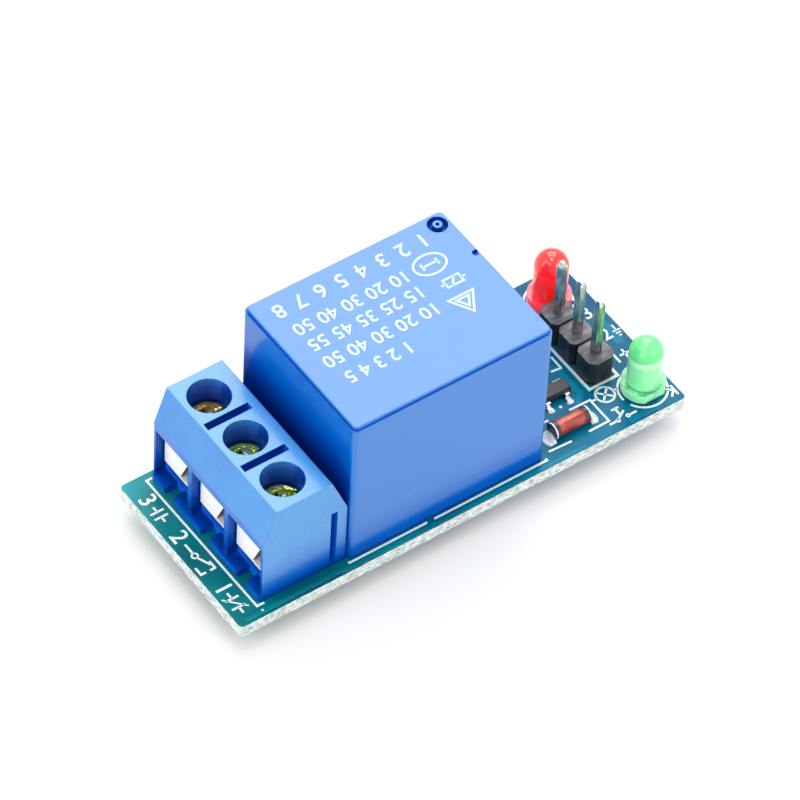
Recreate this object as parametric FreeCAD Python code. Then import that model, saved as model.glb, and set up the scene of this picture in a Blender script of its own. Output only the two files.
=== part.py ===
import FreeCAD, Part
import math
import os

# Relay module board: a small circuit board with a screw terminal block at one end, a sugar-cube
# relay in the middle, and two status lamps, a pin header, a flyback diode, a driver transistor
# and chip resistors at the other end.
# Frame: origin under the board's centre at the lowest lead tips, +X from the terminal block to
# the pin header, +Y across the board, +Z up. All sizes are in millimetres.

os.makedirs("parts", exist_ok=True)
V = FreeCAD.Vector

# Circuit board
board_thickness = 1.2
board_side_margin = 0.95
board_corner_radius = 0.35
lead_drop = 1.9
small_lead_drop = 1.6
hole_clearance = 0.2
solder_height = 0.85
solder_ring_width = 0.5
solder_tip = 0.12
solder_sides = 12

# Terminal block
way_count = 3
way_pitch = 5.08
block_front_gap = 2.82
block_shift_y = 0.35
block_depth = 7.95
block_height = 10.1
nose_height = 6.7
nose_setback = 1.15
back_edge_height = 6.4
back_setback = 1.55
cell_wall = 0.55
cell_back_wall = 1.97
foot_height = 0.7
foot_reach = 0.2
foot_slot_width = 1.06
foot_corner_radius = 0.3
sill_setback = 0.98
sill_height = 1.43
screw_shift = 0.12
bore_radius = 1.8
slot_front_gap = 0.28
slot_back_gap = 0.8
slot_width = 0.7
slot_depth = 2.4
groove_back_gap = 0.92
groove_width = 0.6
groove_depth = 0.42
groove_base_height = 0.2
tongue_clearance = 0.05
ceiling_height = 5.95

# Clamp parts in each terminal way
loop_setback = 1.28
loop_side_clearance = 0.06
loop_back_clearance = 0.1
loop_bottom = 0.5
loop_side = 0.45
loop_top = 1.3
loop_corner_chamfer = 0.4
terminal_pin_shift = 0.32
terminal_pin_length_x = 1.0
terminal_pin_width_y = 0.8
guard_sheet = 0.2
guard_setback = 0.76
guard_side_clearance = 0.1
guard_height = 3.0
guard_rest_gap = 0.05
guard_tail_gap = 0.72
guard_lip_foot_reach = 0.05
guard_lip_top_reach = 1.32
guard_tail_clearance = 0.12
guard_top_clearance = 0.1
clamp_travel = 2.2
screw_head_depth = 2.6
screw_head_height = 1.3
screw_thread_radius = 1.42
screw_tip_gap = 0.02
thread_clearance = 0.08
head_clearance = 0.15
head_pocket_clearance = 0.2
head_pocket_gap = 0.15
drive_slot_width = 0.5
drive_slot_depth = 0.6
drive_cross_length = 2.2
fit_gap = 0.05

# Relay
relay_block_gap = 0.1
relay_shift_y = 0.06
relay_length = 19.0
relay_width = 15.3
relay_height = 15.66
cover_wall = 0.9
cover_edge_radius = 0.45
cover_step_inset = 0.14
cover_step_height = 0.36
cover_rim_chamfer = 0.07
vent_setback = 1.25
vent_radius = 0.85
vent_depth = 0.5
vent_boss_radius = 0.4
vent_boss_rise = 0.05
vent_hole_radius = 0.16
dimple_radius = 0.32
dimple_depth = 0.3
dimple_setback = 0.42
dimple_shift_y = 2.3
base_bottom = 0.3
base_thickness = 1.7
base_clearance = 0.05
base_foot_size = 1.2
base_foot_overlap = 0.1
relay_pin_inset = 2.4
relay_pin_side_inset = 1.65
coil_pin_inset = 2.0
relay_pin_thickness = 0.4
relay_pin_breadth = 0.8
coil_pin_size = 0.5
coil_pin_rise = 0.4
common_plate = 0.35
common_plate_length = 2.4
common_plate_width = 3.0
yoke_thickness = 1.1
yoke_width = 8.4
yoke_wall_gap = 0.75
yoke_leg_margin = 1.1
coil_yoke_gap = 0.3
coil_radius = 4.0
bobbin_tube_wall = 0.5
bobbin_flange = 0.75
bobbin_foot_side_gap = 0.25
bobbin_top_width = 8.6
bobbin_flange_overlap = 0.2
core_radius = 2.1
core_clearance = 0.03
pole_radius = 2.9
pole_thickness = 0.85
armature_thickness = 1.0
armature_width = 8.0
armature_corner_chamfer = 0.5
armature_reach = 9.3
armature_open_deg = 4.5
armature_hinge_gap = 0.03
contact_strip = 0.2
contact_strip_width = 3.4
contact_strip_tip_width = 2.0
contact_strip_tail = 2.4
contact_strip_tail_gap = 0.35
contact_radius = 0.75
contact_button = 0.3
contact_sides = 16
contact_tip_inset = 0.9
contact_pin_shift = 1.15
contact_gap = 0.07
contact_headroom = 0.53
fixed_blade = 0.35
fixed_blade_width = 1.8
fixed_post_width = 2.2

# Pin header
header_end_margin = 3.38
header_shift_y = 0.25
pin_count = 3
pin_pitch = 2.54
header_height = 2.5
header_waist = 0.5
pin_size = 0.64
pin_rise = 8.54
pin_taper = 0.45
pin_taper_size = 0.3

# Status lamps
green_lamp_end_margin = 0.54
green_lamp_header_gap = 0.5
red_lamp_end_margin = 1.39
red_lamp_header_gap = 0.19
lamp_radius = 1.45
lamp_flange_radius = 1.86
lamp_flange_height = 0.9
lamp_flange_flat = 0.28
lamp_rise = 0.2
lamp_height = 5.89
lamp_lead_pitch = 2.54
lamp_lead_size = 0.45
lamp_post_height = 2.3
lamp_anvil_height = 2.0
lamp_neck_length = 0.67
lamp_neck_cover = 0.15
lamp_cup_radius = 0.5
lamp_cup_height = 0.55
lamp_cup_sides = 8
lamp_cup_wall = 0.08

# Flyback diode, transistor and chip resistors
diode_relay_gap = 0.93
diode_header_gap = 1.28
diode_edge_gap = 1.76
diode_length = 3.5
diode_radius = 0.74
diode_cap_length = 0.5
diode_glass_inset = 0.07
diode_glass_wall = 0.22
diode_slug_radius = 0.4
diode_chip_length = 0.3
diode_chip_width = 0.48
diode_fillet = 0.95
diode_solder_height = 1.11
transistor_relay_gap = 2.98
transistor_diode_gap = 1.235
transistor_length = 2.9
transistor_width = 1.35
transistor_height = 0.95
transistor_standoff = 0.1
transistor_draft = 0.12
transistor_lead_pitch = 0.95
transistor_lead_width = 0.42
transistor_lead_sheet = 0.14
transistor_lead_reach = 0.55
transistor_foot = 0.32
transistor_solder_width = 0.67
chip_relay_gap = 1.83
chip_edge_gap = 1.675
chip_gap = 1.05
chip_count = 3
chip_length = 2.0
chip_width = 1.25
chip_height = 0.5
chip_cap = 0.35
chip_cap_wall = 0.04
chip_fillet = 0.3
chip_solder_height = 0.4
fillet_sag = 0.36

# How far a cut runs past what it cuts
over = 1.0

# Places worked out from the sizes. The board is as large as what it carries.
board_bottom = lead_drop
top = board_bottom + board_thickness
diode_run = diode_relay_gap + diode_fillet + diode_length + diode_fillet + diode_header_gap
board_length = (block_front_gap + block_depth + relay_block_gap + relay_length + diode_run
                + pin_pitch + header_end_margin)
board_width = max(relay_width, way_count * way_pitch) + 2 * board_side_margin
end_low_x = -board_length / 2
end_high_x = board_length / 2
edge_low_y = -board_width / 2
edge_high_y = board_width / 2

block_front = end_low_x + block_front_gap
block_back = block_front + block_depth
block_half = way_count * way_pitch / 2
block_low_y = block_shift_y - block_half
block_high_y = block_shift_y + block_half
way_ys = [block_high_y - way_pitch * (i + 0.5) for i in range(way_count)]
cell_half = way_pitch / 2 - cell_wall / 2
cell_back = block_back - cell_back_wall
sill_x = block_front + sill_setback

loop_z0 = sill_height
loop_z1 = ceiling_height - fit_gap
loop_x0 = block_front + loop_setback
loop_x1 = cell_back - loop_back_clearance
loop_half = cell_half - loop_side_clearance
loop_middle_x = (loop_x0 + loop_x1) / 2
screw_x = loop_middle_x - screw_shift
terminal_pin_x = loop_middle_x + terminal_pin_shift
guard_z0 = loop_z0 + loop_bottom + guard_rest_gap
guard_z1 = guard_z0 + guard_height
guard_x0 = block_front + guard_setback
guard_x1 = guard_x0 + guard_sheet
guard_tail_x1 = loop_x1 - guard_tail_gap
guard_half = loop_half - guard_side_clearance
head_top = block_height - screw_head_depth
head_bottom = head_top - screw_head_height
head_pocket_top = head_top + head_pocket_gap
screw_head_radius = bore_radius - head_clearance

relay_x0 = block_back + relay_block_gap
relay_x1 = relay_x0 + relay_length
relay_y0 = relay_shift_y - relay_width / 2
relay_y1 = relay_shift_y + relay_width / 2
room_x0 = relay_x0 + cover_wall
room_x1 = relay_x1 - cover_wall
room_width = relay_width - 2 * cover_wall
room_top = relay_height - cover_wall
base_top = base_bottom + base_thickness
relay_pin_half_width = relay_width / 2 - relay_pin_side_inset
common_x = relay_x1 - relay_pin_inset
coil_pin_x = common_x - coil_pin_inset
contact_pin_x = relay_x0 + relay_pin_inset
contact_x = contact_pin_x + contact_pin_shift
strip_tip_x = contact_x - contact_tip_inset
yoke_x1 = room_x1 - yoke_wall_gap
yoke_x0 = yoke_x1 - yoke_thickness
yoke_z0 = base_top + common_plate
coil_x = yoke_x0 - coil_yoke_gap - coil_radius
bobbin_z0 = yoke_z0 + yoke_thickness
bobbin_foot_width = room_width - 2 * bobbin_foot_side_gap


def moving_contact_rise(open_deg, offset):
    """How far a face of the moving contact, offset from the leaf, then stands over the hinge."""
    turn = math.radians(open_deg)
    return (yoke_x1 - contact_x) * math.sin(turn) + (armature_thickness + offset) * math.cos(turn)


# The stack under the relay's roof: the closed contact, the open armature and the coil below it
closed_blade_z = room_top - contact_headroom - fixed_blade
hinge_z = (closed_blade_z - contact_button - contact_gap
           - moving_contact_rise(armature_open_deg, contact_strip + contact_button))
open_blade_z = (hinge_z + moving_contact_rise(0, -contact_button) - contact_gap - contact_button
                - fixed_blade)
pole_z = hinge_z - armature_hinge_gap
bobbin_z1 = pole_z - pole_thickness
coil_z0 = bobbin_z0 + bobbin_flange
coil_z1 = bobbin_z1 - bobbin_flange

header_x = end_high_x - header_end_margin - pin_pitch / 2
header_half_y = pin_count * pin_pitch / 2
header_ys = [header_shift_y - header_half_y + pin_pitch * (i + 0.5) for i in range(pin_count)]
red_lamp_at = (end_high_x - red_lamp_end_margin - lamp_flange_radius,
               header_shift_y + header_half_y + red_lamp_header_gap + lamp_flange_radius
               - lamp_flange_flat)
green_lamp_at = (end_high_x - green_lamp_end_margin - lamp_flange_radius,
                 header_shift_y - header_half_y - green_lamp_header_gap - lamp_flange_radius)
diode_at = (relay_x1 + diode_relay_gap + diode_fillet + diode_length / 2,
            edge_low_y + diode_edge_gap + diode_radius)
transistor_reach = transistor_width / 2 + transistor_lead_reach
transistor_at = (relay_x1 + transistor_relay_gap + transistor_length / 2,
                 diode_at[1] + diode_radius + transistor_diode_gap + chip_fillet + transistor_reach)
transistor_feet = ((-transistor_lead_pitch, -1), (transistor_lead_pitch, -1), (0, 1))
chip_x = relay_x1 + chip_relay_gap + chip_fillet + chip_length / 2
chip_ys = [edge_high_y - chip_edge_gap - chip_width / 2 - (chip_width + chip_gap) * i
           for i in range(chip_count)]


def box(x0, x1, y0, y1, z0, z1):
    """A block between two corners, with heights measured from the board's top face."""
    return Part.makeBox(x1 - x0, y1 - y0, z1 - z0, V(x0, y0, top + z0))


def cylinder(x, y, z0, z1, radius):
    """An upright round bar, with heights measured from the board's top face."""
    return Part.makeCylinder(radius, z1 - z0, V(x, y, top + z0))


def flat_face(corners):
    """A flat face between corners in order."""
    return Part.Face(Part.makePolygon(corners + corners[:1]))


def corners_round(x, y, z, radius, sides):
    """Corners spaced evenly on a level circle."""
    turns = [2 * math.pi * (i + 0.5) / sides for i in range(sides)]
    return [V(x + radius * math.cos(t), y + radius * math.sin(t), top + z) for t in turns]


def solid_between(low, high):
    """A solid with flat sides between two like outlines, one above the other."""
    sides = [flat_face([low[i - 1], low[i], high[i], high[i - 1]]) for i in range(len(low))]
    return Part.makeSolid(Part.makeShell([flat_face(low), flat_face(high)] + sides))


def faceted_bar(x, y, z0, z1, r0, r1, sides):
    """An upright bar with flat sides, plain or tapered."""
    return solid_between(corners_round(x, y, z0, r0, sides), corners_round(x, y, z1, r1, sides))


def prism_xz(points, y0, y1):
    """An outline in X and height, drawn out across the board from y0 to y1."""
    face = flat_face([V(x, y0, top + z) for x, z in points])
    return face.extrude(V(0, y1 - y0, 0))


def prism_yz(points, x0, x1):
    """An outline in Y and height, drawn out along the board from x0 to x1."""
    face = flat_face([V(x0, y, top + z) for y, z in points])
    return face.extrude(V(x1 - x0, 0, 0))


def prism_xy(points, z0, z1):
    """An outline in plan, drawn up from z0 to z1."""
    face = flat_face([V(x, y, top + z0) for x, y in points])
    return face.extrude(V(0, 0, z1 - z0))


def edges_along(shape, axis, inside):
    """The straight edges parallel to an axis whose middle passes the test inside."""
    found = []
    for edge in shape.Edges:
        if len(edge.Vertexes) != 2:
            continue
        run = edge.Vertexes[1].Point - edge.Vertexes[0].Point
        if run.Length < 1e-6 or abs(abs(run.normalize().dot(axis)) - 1) > 1e-6:
            continue
        middle = (edge.Vertexes[1].Point + edge.Vertexes[0].Point) * 0.5
        if inside(middle):
            found.append(edge)
    return found


def upright_block(x0, x1, y0, y1, z0, z1, radius):
    """A block whose four upright edges are rounded."""
    block = box(x0, x1, y0, y1, z0, z1)
    return block.makeFillet(radius, edges_along(block, V(0, 0, 1), lambda p: True))


def save(name, shape):
    """Write one piece, or one group of separate pieces, as a STEP file."""
    shape.removeSplitter().exportStep("parts/" + name + ".step")


def group(shapes):
    """Separate solids kept as one group."""
    return Part.makeCompound(shapes)


# Leads that pass through the board: place, hole radius, half sizes and how far they reach down

def through_leads():
    """Every lead hole: x, y, the lead's size along X and Y, and its length below the board."""
    leads = []
    for y in way_ys:
        leads.append((terminal_pin_x, y, terminal_pin_length_x, terminal_pin_width_y, lead_drop))
    for side in (-1, 1):
        y = relay_shift_y + side * relay_pin_half_width
        leads.append((contact_pin_x, y, relay_pin_thickness, relay_pin_breadth, lead_drop))
        leads.append((coil_pin_x, y, coil_pin_size, coil_pin_size, lead_drop))
    leads.append((common_x, relay_shift_y, relay_pin_thickness, relay_pin_breadth, lead_drop))
    for y in header_ys:
        leads.append((header_x, y, pin_size, pin_size, small_lead_drop))
    for x, y in (red_lamp_at, green_lamp_at):
        for side in (-1, 1):
            at = y + side * lamp_lead_pitch / 2
            leads.append((x, at, lamp_lead_size, lamp_lead_size, small_lead_drop))
    return leads


def lead_hole_radius(lead):
    """Half the lead's diagonal and a clearance."""
    return math.hypot(lead[2], lead[3]) / 2 + hole_clearance / 2


def lead_box(x, y, size_x, size_y, z1, drop):
    """A rectangular lead from height z1 down through the board to its cut tip."""
    return box(x - size_x / 2, x + size_x / 2, y - size_y / 2, y + size_y / 2,
               -board_thickness - drop, z1)


# Board and solder

def make_board():
    board = upright_block(end_low_x, end_high_x, edge_low_y, edge_high_y,
                          -board_thickness, 0, board_corner_radius)
    holes = [cylinder(lead[0], lead[1], -board_thickness - over, over, lead_hole_radius(lead))
             for lead in through_leads()]
    return board.cut(holes)


def make_solder_joints():
    """A many-sided cone of solder under the board round each lead."""
    joints = []
    for lead in through_leads():
        x, y, size_x, size_y, drop = lead
        wide = lead_hole_radius(lead) + solder_ring_width
        narrow = math.hypot(size_x, size_y) / 2 + solder_tip
        height = min(solder_height, drop - solder_tip)
        joint = faceted_bar(x, y, -board_thickness - height, -board_thickness, narrow, wide,
                            solder_sides)
        joints.append(joint.cut(lead_box(x, y, size_x, size_y, over, drop + over)))
    return group(joints)


# Terminal block

def make_terminal_housing():
    profile = [(block_front, 0), (block_front, nose_height),
               (block_front + nose_setback, block_height),
               (block_back - back_setback, block_height),
               (block_back, back_edge_height), (block_back, 0)]
    body = prism_xz(profile, block_low_y, block_high_y)
    body = body.fuse(box(block_front - foot_reach, block_front + foot_reach,
                         block_low_y, block_high_y, 0, foot_height))
    groove_x1 = block_back - groove_back_gap
    groove_x0 = groove_x1 - groove_width
    body = body.fuse(box(groove_x0 + tongue_clearance, groove_x1 - tongue_clearance,
                         block_high_y - cell_wall / 2, block_high_y + groove_depth,
                         groove_base_height, back_edge_height))
    cuts = [box(groove_x0, groove_x1, block_low_y - over, block_low_y + groove_depth + tongue_clearance,
                groove_base_height, back_edge_height)]
    for y in way_ys:
        cuts += way_cuts(y)
    for low, high in zip(way_ys[1:], way_ys[:-1]):
        middle = (low + high) / 2
        cuts.append(box(block_front + nose_setback + slot_front_gap,
                        block_back - back_setback - slot_back_gap,
                        middle - slot_width / 2, middle + slot_width / 2,
                        block_height - slot_depth, block_height + over))
    body = body.cut(cuts).removeSplitter()
    front = block_front - foot_reach
    corners = edges_along(body, V(0, 0, 1), lambda p: abs(p.x - front) < 1e-3)
    return body.makeFillet(foot_corner_radius, corners)


def way_cuts(y):
    """What is taken out of the housing for one wire way and its screw."""
    before = block_front - foot_reach - over
    pin_half_x = terminal_pin_length_x / 2 + fit_gap
    pin_half_y = terminal_pin_width_y / 2 + fit_gap
    guard_room = guard_half + fit_gap
    guard_top = guard_z1 + clamp_travel + guard_top_clearance
    pocket = screw_head_radius + head_pocket_clearance
    return [
        box(before, cell_back, y - cell_half, y + cell_half, sill_height, ceiling_height),
        box(before, sill_x, y - cell_half, y + cell_half, foot_height, ceiling_height),
        box(before, sill_x, y - foot_slot_width / 2, y + foot_slot_width / 2, -over,
            foot_height + over),
        box(guard_x0 - fit_gap, guard_x1 + fit_gap, y - guard_room, y + guard_room,
            ceiling_height - over, guard_top),
        cylinder(screw_x, y, head_pocket_top - over, block_height + over, bore_radius),
        box(screw_x - pocket, screw_x + pocket, y - pocket, y + pocket,
            ceiling_height - over, head_pocket_top),
        box(terminal_pin_x - pin_half_x, terminal_pin_x + pin_half_x, y - pin_half_y,
            y + pin_half_y, -over, sill_height + over),
    ]


def make_terminal_contact(y):
    """A bent strip: a loop round the wire way, tapped at its top, with a solder pin below."""
    loop = box(loop_x0, loop_x1, y - loop_half, y + loop_half, loop_z0, loop_z1)
    loop = loop.makeChamfer(loop_corner_chamfer, edges_along(loop, V(1, 0, 0), lambda p: True))
    window = box(loop_x0 - over, loop_x1 + over, y - loop_half + loop_side,
                 y + loop_half - loop_side, loop_z0 + loop_bottom, loop_z1 - loop_top)
    tapped = cylinder(screw_x, y, loop_z1 - loop_top - over, loop_z1 + over,
                      screw_thread_radius + thread_clearance)
    pin = lead_box(terminal_pin_x, y, terminal_pin_length_x, terminal_pin_width_y,
                   loop_z0 + loop_bottom / 2, lead_drop)
    return loop.cut([window, tapped]).fuse(pin)


def make_wire_guard(y):
    """A folded steel leaf: a lip in the mouth with one slanted side, and a tail under the screw."""
    lip_outline = [(y + guard_half, guard_z0), (y + guard_half, guard_z1),
                   (y - guard_lip_top_reach, guard_z1), (y - guard_lip_foot_reach, guard_z0)]
    lip = prism_yz(lip_outline, guard_x0, guard_x1)
    tail_half = loop_half - loop_side - guard_tail_clearance
    tail = box(guard_x0, guard_tail_x1, y - tail_half, y + tail_half,
               guard_z0, guard_z0 + guard_sheet)
    return lip.fuse(tail)


def make_terminal_screw(y):
    """A flat-ended clamp screw whose head takes a slotted or a cross blade."""
    tip = guard_z0 + guard_sheet + screw_tip_gap
    head = cylinder(screw_x, y, head_bottom, head_top, screw_head_radius)
    shank = cylinder(screw_x, y, tip, head_bottom, screw_thread_radius)
    half = drive_slot_width / 2
    reach = screw_head_radius + over
    slot_z = head_top - drive_slot_depth
    slot = box(screw_x - reach, screw_x + reach, y - half, y + half, slot_z, head_top + over)
    cross = box(screw_x - half, screw_x + half, y - drive_cross_length / 2,
                y + drive_cross_length / 2, slot_z, head_top + over)
    return head.fuse(shank).cut([slot, cross])


# Relay shell

def make_relay_cover():
    z_step = relay_height - cover_step_height
    outer = upright_block(relay_x0, relay_x1, relay_y0, relay_y1, 0, z_step, cover_edge_radius)
    inset = cover_step_inset
    lid = upright_block(relay_x0 + inset, relay_x1 - inset, relay_y0 + inset, relay_y1 - inset,
                        z_step - over, relay_height, cover_edge_radius)
    rim = [e for e in lid.Edges if abs(e.BoundBox.ZMin - top - relay_height) < 1e-6]
    lid = lid.makeChamfer(cover_rim_chamfer, rim)
    room = box(room_x0, room_x1, relay_shift_y - room_width / 2, relay_shift_y + room_width / 2,
               -over, room_top)
    vent_x = relay_x1 - vent_setback
    vent_y = relay_y1 - vent_setback
    vent = cylinder(vent_x, vent_y, relay_height - vent_depth, relay_height + over, vent_radius)
    boss = cylinder(vent_x, vent_y, relay_height - vent_depth, relay_height + vent_boss_rise,
                    vent_boss_radius)
    hole = cylinder(vent_x, vent_y, relay_height - vent_depth, relay_height + over, vent_hole_radius)
    dimple = cylinder(relay_x1 - dimple_setback, relay_shift_y + dimple_shift_y,
                      relay_height - dimple_depth, relay_height + over, dimple_radius)
    return outer.fuse(lid).cut([room, vent, dimple]).fuse(boss.cut(hole))


def relay_pins():
    """The relay's five leads: x, y and their sizes along X and Y."""
    pins = {"common": (common_x, relay_shift_y, relay_pin_thickness, relay_pin_breadth)}
    for name, side in (("closed", 1), ("open", -1)):
        pins[name] = (contact_pin_x, relay_shift_y + side * relay_pin_half_width,
                      relay_pin_thickness, relay_pin_breadth)
        pins["coil_" + name] = (coil_pin_x, relay_shift_y + side * relay_pin_half_width,
                                coil_pin_size, coil_pin_size)
    return pins


def make_relay_base():
    """The plate that closes the shell's open bottom, on four small feet."""
    gap = cover_wall + base_clearance
    x0, x1 = relay_x0 + gap, relay_x1 - gap
    y0, y1 = relay_y0 + gap, relay_y1 - gap
    base = box(x0, x1, y0, y1, base_bottom, base_top)
    feet = []
    for fx in (x0, x1 - base_foot_size):
        for fy in (y0, y1 - base_foot_size):
            feet.append(box(fx, fx + base_foot_size, fy, fy + base_foot_size, 0,
                            base_bottom + base_foot_overlap))
    holes = []
    for x, y, size_x, size_y in relay_pins().values():
        holes.append(box(x - size_x / 2 - fit_gap, x + size_x / 2 + fit_gap,
                         y - size_y / 2 - fit_gap, y + size_y / 2 + fit_gap,
                         -over, base_top + over))
    return base.fuse(feet).cut(holes)


# Relay magnet system

def make_relay_yoke():
    """An L of soft iron: a leg under the coil and a wall up behind it."""
    half = yoke_width / 2
    leg_x0 = coil_x - core_radius - yoke_leg_margin
    outline = [(leg_x0, yoke_z0), (yoke_x1, yoke_z0), (yoke_x1, pole_z), (yoke_x0, pole_z),
               (yoke_x0, yoke_z0 + yoke_thickness), (leg_x0, yoke_z0 + yoke_thickness)]
    yoke = prism_xz(outline, relay_shift_y - half, relay_shift_y + half)
    hole = cylinder(coil_x, relay_shift_y, yoke_z0 - over, bobbin_z0 + over, core_radius)
    return yoke.cut(hole)


def make_relay_core():
    """A round iron core with a wider pole face, riveted into the yoke's leg."""
    shaft = cylinder(coil_x, relay_shift_y, yoke_z0, bobbin_z1, core_radius)
    pole = cylinder(coil_x, relay_shift_y, bobbin_z1, pole_z, pole_radius)
    return shaft.fuse(pole)


def make_relay_bobbin():
    """The coil former: a tube between two flanges, the lower one wide enough for the leads."""
    half = coil_radius + bobbin_flange_overlap
    tube = cylinder(coil_x, relay_shift_y, bobbin_z0, bobbin_z1,
                    core_radius + core_clearance + bobbin_tube_wall)
    foot = box(coil_x - half, coil_x + half, relay_shift_y - bobbin_foot_width / 2,
               relay_shift_y + bobbin_foot_width / 2, bobbin_z0, coil_z0)
    head = box(coil_x - half, coil_x + half, relay_shift_y - bobbin_top_width / 2,
               relay_shift_y + bobbin_top_width / 2, coil_z1, bobbin_z1)
    bore = cylinder(coil_x, relay_shift_y, bobbin_z0 - over, bobbin_z1 + over,
                    core_radius + core_clearance)
    holes = []
    for name in ("coil_open", "coil_closed"):
        x, y, size_x, size_y = relay_pins()[name]
        holes.append(box(x - size_x / 2, x + size_x / 2, y - size_y / 2, y + size_y / 2,
                         bobbin_z0 - over, coil_z0 + over))
    return tube.fuse([foot, head]).cut([bore] + holes)


def make_relay_coil():
    """The winding, as one ring of wire between the flanges."""
    inner = core_radius + core_clearance + bobbin_tube_wall
    ring = cylinder(coil_x, relay_shift_y, coil_z0, coil_z1, coil_radius)
    return ring.cut(cylinder(coil_x, relay_shift_y, coil_z0 - over, coil_z1 + over, inner))


def make_coil_pin(name):
    x, y, size_x, size_y = relay_pins()[name]
    return lead_box(x, y, size_x, size_y, coil_z0 + coil_pin_rise, lead_drop)


def make_common_pin():
    """The common lead with the plate that the yoke stands on."""
    x, y, size_x, size_y = relay_pins()["common"]
    pin = lead_box(x, y, size_x, size_y, base_top + common_plate / 2, lead_drop)
    plate = box(yoke_x1 - common_plate_length, yoke_x1, y - common_plate_width / 2,
                y + common_plate_width / 2, base_top, yoke_z0)
    return pin.fuse(plate)


# Armature set, drawn closed on the pole and then opened about its edge on the yoke

def opened(shape):
    """Tip a piece of the armature set up to its place at rest."""
    shape.rotate(V(yoke_x1, relay_shift_y, top + hinge_z), V(0, 1, 0), armature_open_deg)
    return shape


def make_relay_armature():
    half = armature_width / 2
    x0, x1 = yoke_x1 - armature_reach, yoke_x1
    y0, y1 = relay_shift_y - half, relay_shift_y + half
    cut = armature_corner_chamfer
    plate = prism_xy([(x0, y0 + cut), (x0 + cut, y0), (x1 - cut, y0), (x1, y0 + cut),
                      (x1, y1 - cut), (x1 - cut, y1), (x0 + cut, y1), (x0, y1 - cut)],
                     hinge_z, hinge_z + armature_thickness)
    return opened(plate)


def make_contact_strip():
    """The copper leaf on the armature: it carries the moving contact and bends down behind."""
    z0 = hinge_z + armature_thickness
    half = contact_strip_width / 2
    tip = contact_strip_tip_width / 2
    y = relay_shift_y
    neck_x = yoke_x1 - armature_reach
    tail_x = yoke_x1 + contact_strip_tail_gap
    leaf = prism_xy([(tail_x, y - half), (tail_x, y + half), (neck_x, y + half),
                     (strip_tip_x, y + tip), (strip_tip_x, y - tip), (neck_x, y - half)],
                    z0, z0 + contact_strip)
    tail = box(tail_x, tail_x + contact_strip, y - half, y + half,
               hinge_z - contact_strip_tail, z0 + contact_strip)
    hole = cylinder(contact_x, y, z0 - over, z0 + over, contact_radius / 2)
    return opened(leaf.fuse(tail).cut(hole))


def contact_disc(z0):
    """A silver button over the board's centre, with its lower face at z0."""
    return faceted_bar(contact_x, relay_shift_y, z0, z0 + contact_button, contact_radius,
                       contact_radius, contact_sides)


def make_moving_contact():
    """A silver rivet with a button above and below the leaf."""
    z0 = hinge_z + armature_thickness
    stem = cylinder(contact_x, relay_shift_y, z0, z0 + contact_strip, contact_radius / 2)
    return opened(stem.fuse([contact_disc(z0 + contact_strip), contact_disc(z0 - contact_button)]))


def make_fixed_contact(name, side, blade_z0, button_up):
    """A fixed contact: a lead, an upright post and a blade with a button over the board's centre."""
    x, y, size_x, size_y = relay_pins()[name]
    lead = lead_box(x, y, size_x, size_y, base_top + fixed_blade / 2, lead_drop)
    post_half = fixed_post_width / 2
    post_x0 = x - fixed_blade / 2
    centre = relay_shift_y
    outer = y + side * relay_pin_breadth / 2
    inner = outer - side * fixed_post_width
    post = box(post_x0, post_x0 + fixed_blade, min(outer, inner), max(outer, inner),
               base_top, blade_z0 + fixed_blade)
    reach = contact_x + contact_radius
    tip = centre - side * post_half
    blade = box(post_x0, reach, min(outer, inner), max(outer, inner), blade_z0, blade_z0 + fixed_blade)
    arm_x0 = contact_x - fixed_blade_width / 2
    arm = box(arm_x0, arm_x0 + fixed_blade_width, min(inner, tip), max(inner, tip),
              blade_z0, blade_z0 + fixed_blade)
    button_z0 = blade_z0 + fixed_blade if button_up else blade_z0 - contact_button
    return lead.fuse([post, blade, arm, contact_disc(button_z0)])


def make_closed_contact():
    """The contact that the moving one rests against with no current in the coil."""
    return make_fixed_contact("closed", 1, closed_blade_z, False)


def make_open_contact():
    """The contact that the moving one reaches when the coil pulls."""
    return make_fixed_contact("open", -1, open_blade_z, True)


# Pin header

def make_header_housing():
    """A strip of eight-sided blocks, one for each pin, joined at their waists."""
    blocks = []
    half = pin_pitch / 2
    for y in header_ys:
        low, high = y - half, y + half
        outline = [(header_x - half, low + header_waist), (header_x - half, high - header_waist),
                   (header_x - half + header_waist, high), (header_x + half - header_waist, high),
                   (header_x + half, high - header_waist), (header_x + half, low + header_waist),
                   (header_x + half - header_waist, low), (header_x - half + header_waist, low)]
        blocks.append(prism_xy(outline, 0, header_height))
    strip = blocks[0].fuse(blocks[1:])
    holes = [box(header_x - pin_size / 2, header_x + pin_size / 2, y - pin_size / 2,
                 y + pin_size / 2, -over, header_height + over) for y in header_ys]
    return strip.cut(holes)


def square_at(y, side, z):
    """The corners of a square round one header pin's axis."""
    return [V(header_x + sx * side / 2, y + sy * side / 2, top + z)
            for sx, sy in ((-1, -1), (1, -1), (1, 1), (-1, 1))]


def make_header_pin(y):
    """A square pin with a tapered tip."""
    taper_z = pin_rise - pin_taper
    shank = lead_box(header_x, y, pin_size, pin_size, taper_z, small_lead_drop)
    tip = solid_between(square_at(y, pin_size, taper_z), square_at(y, pin_taper_size, pin_rise))
    return shank.fuse(tip)


# Status lamps

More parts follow.
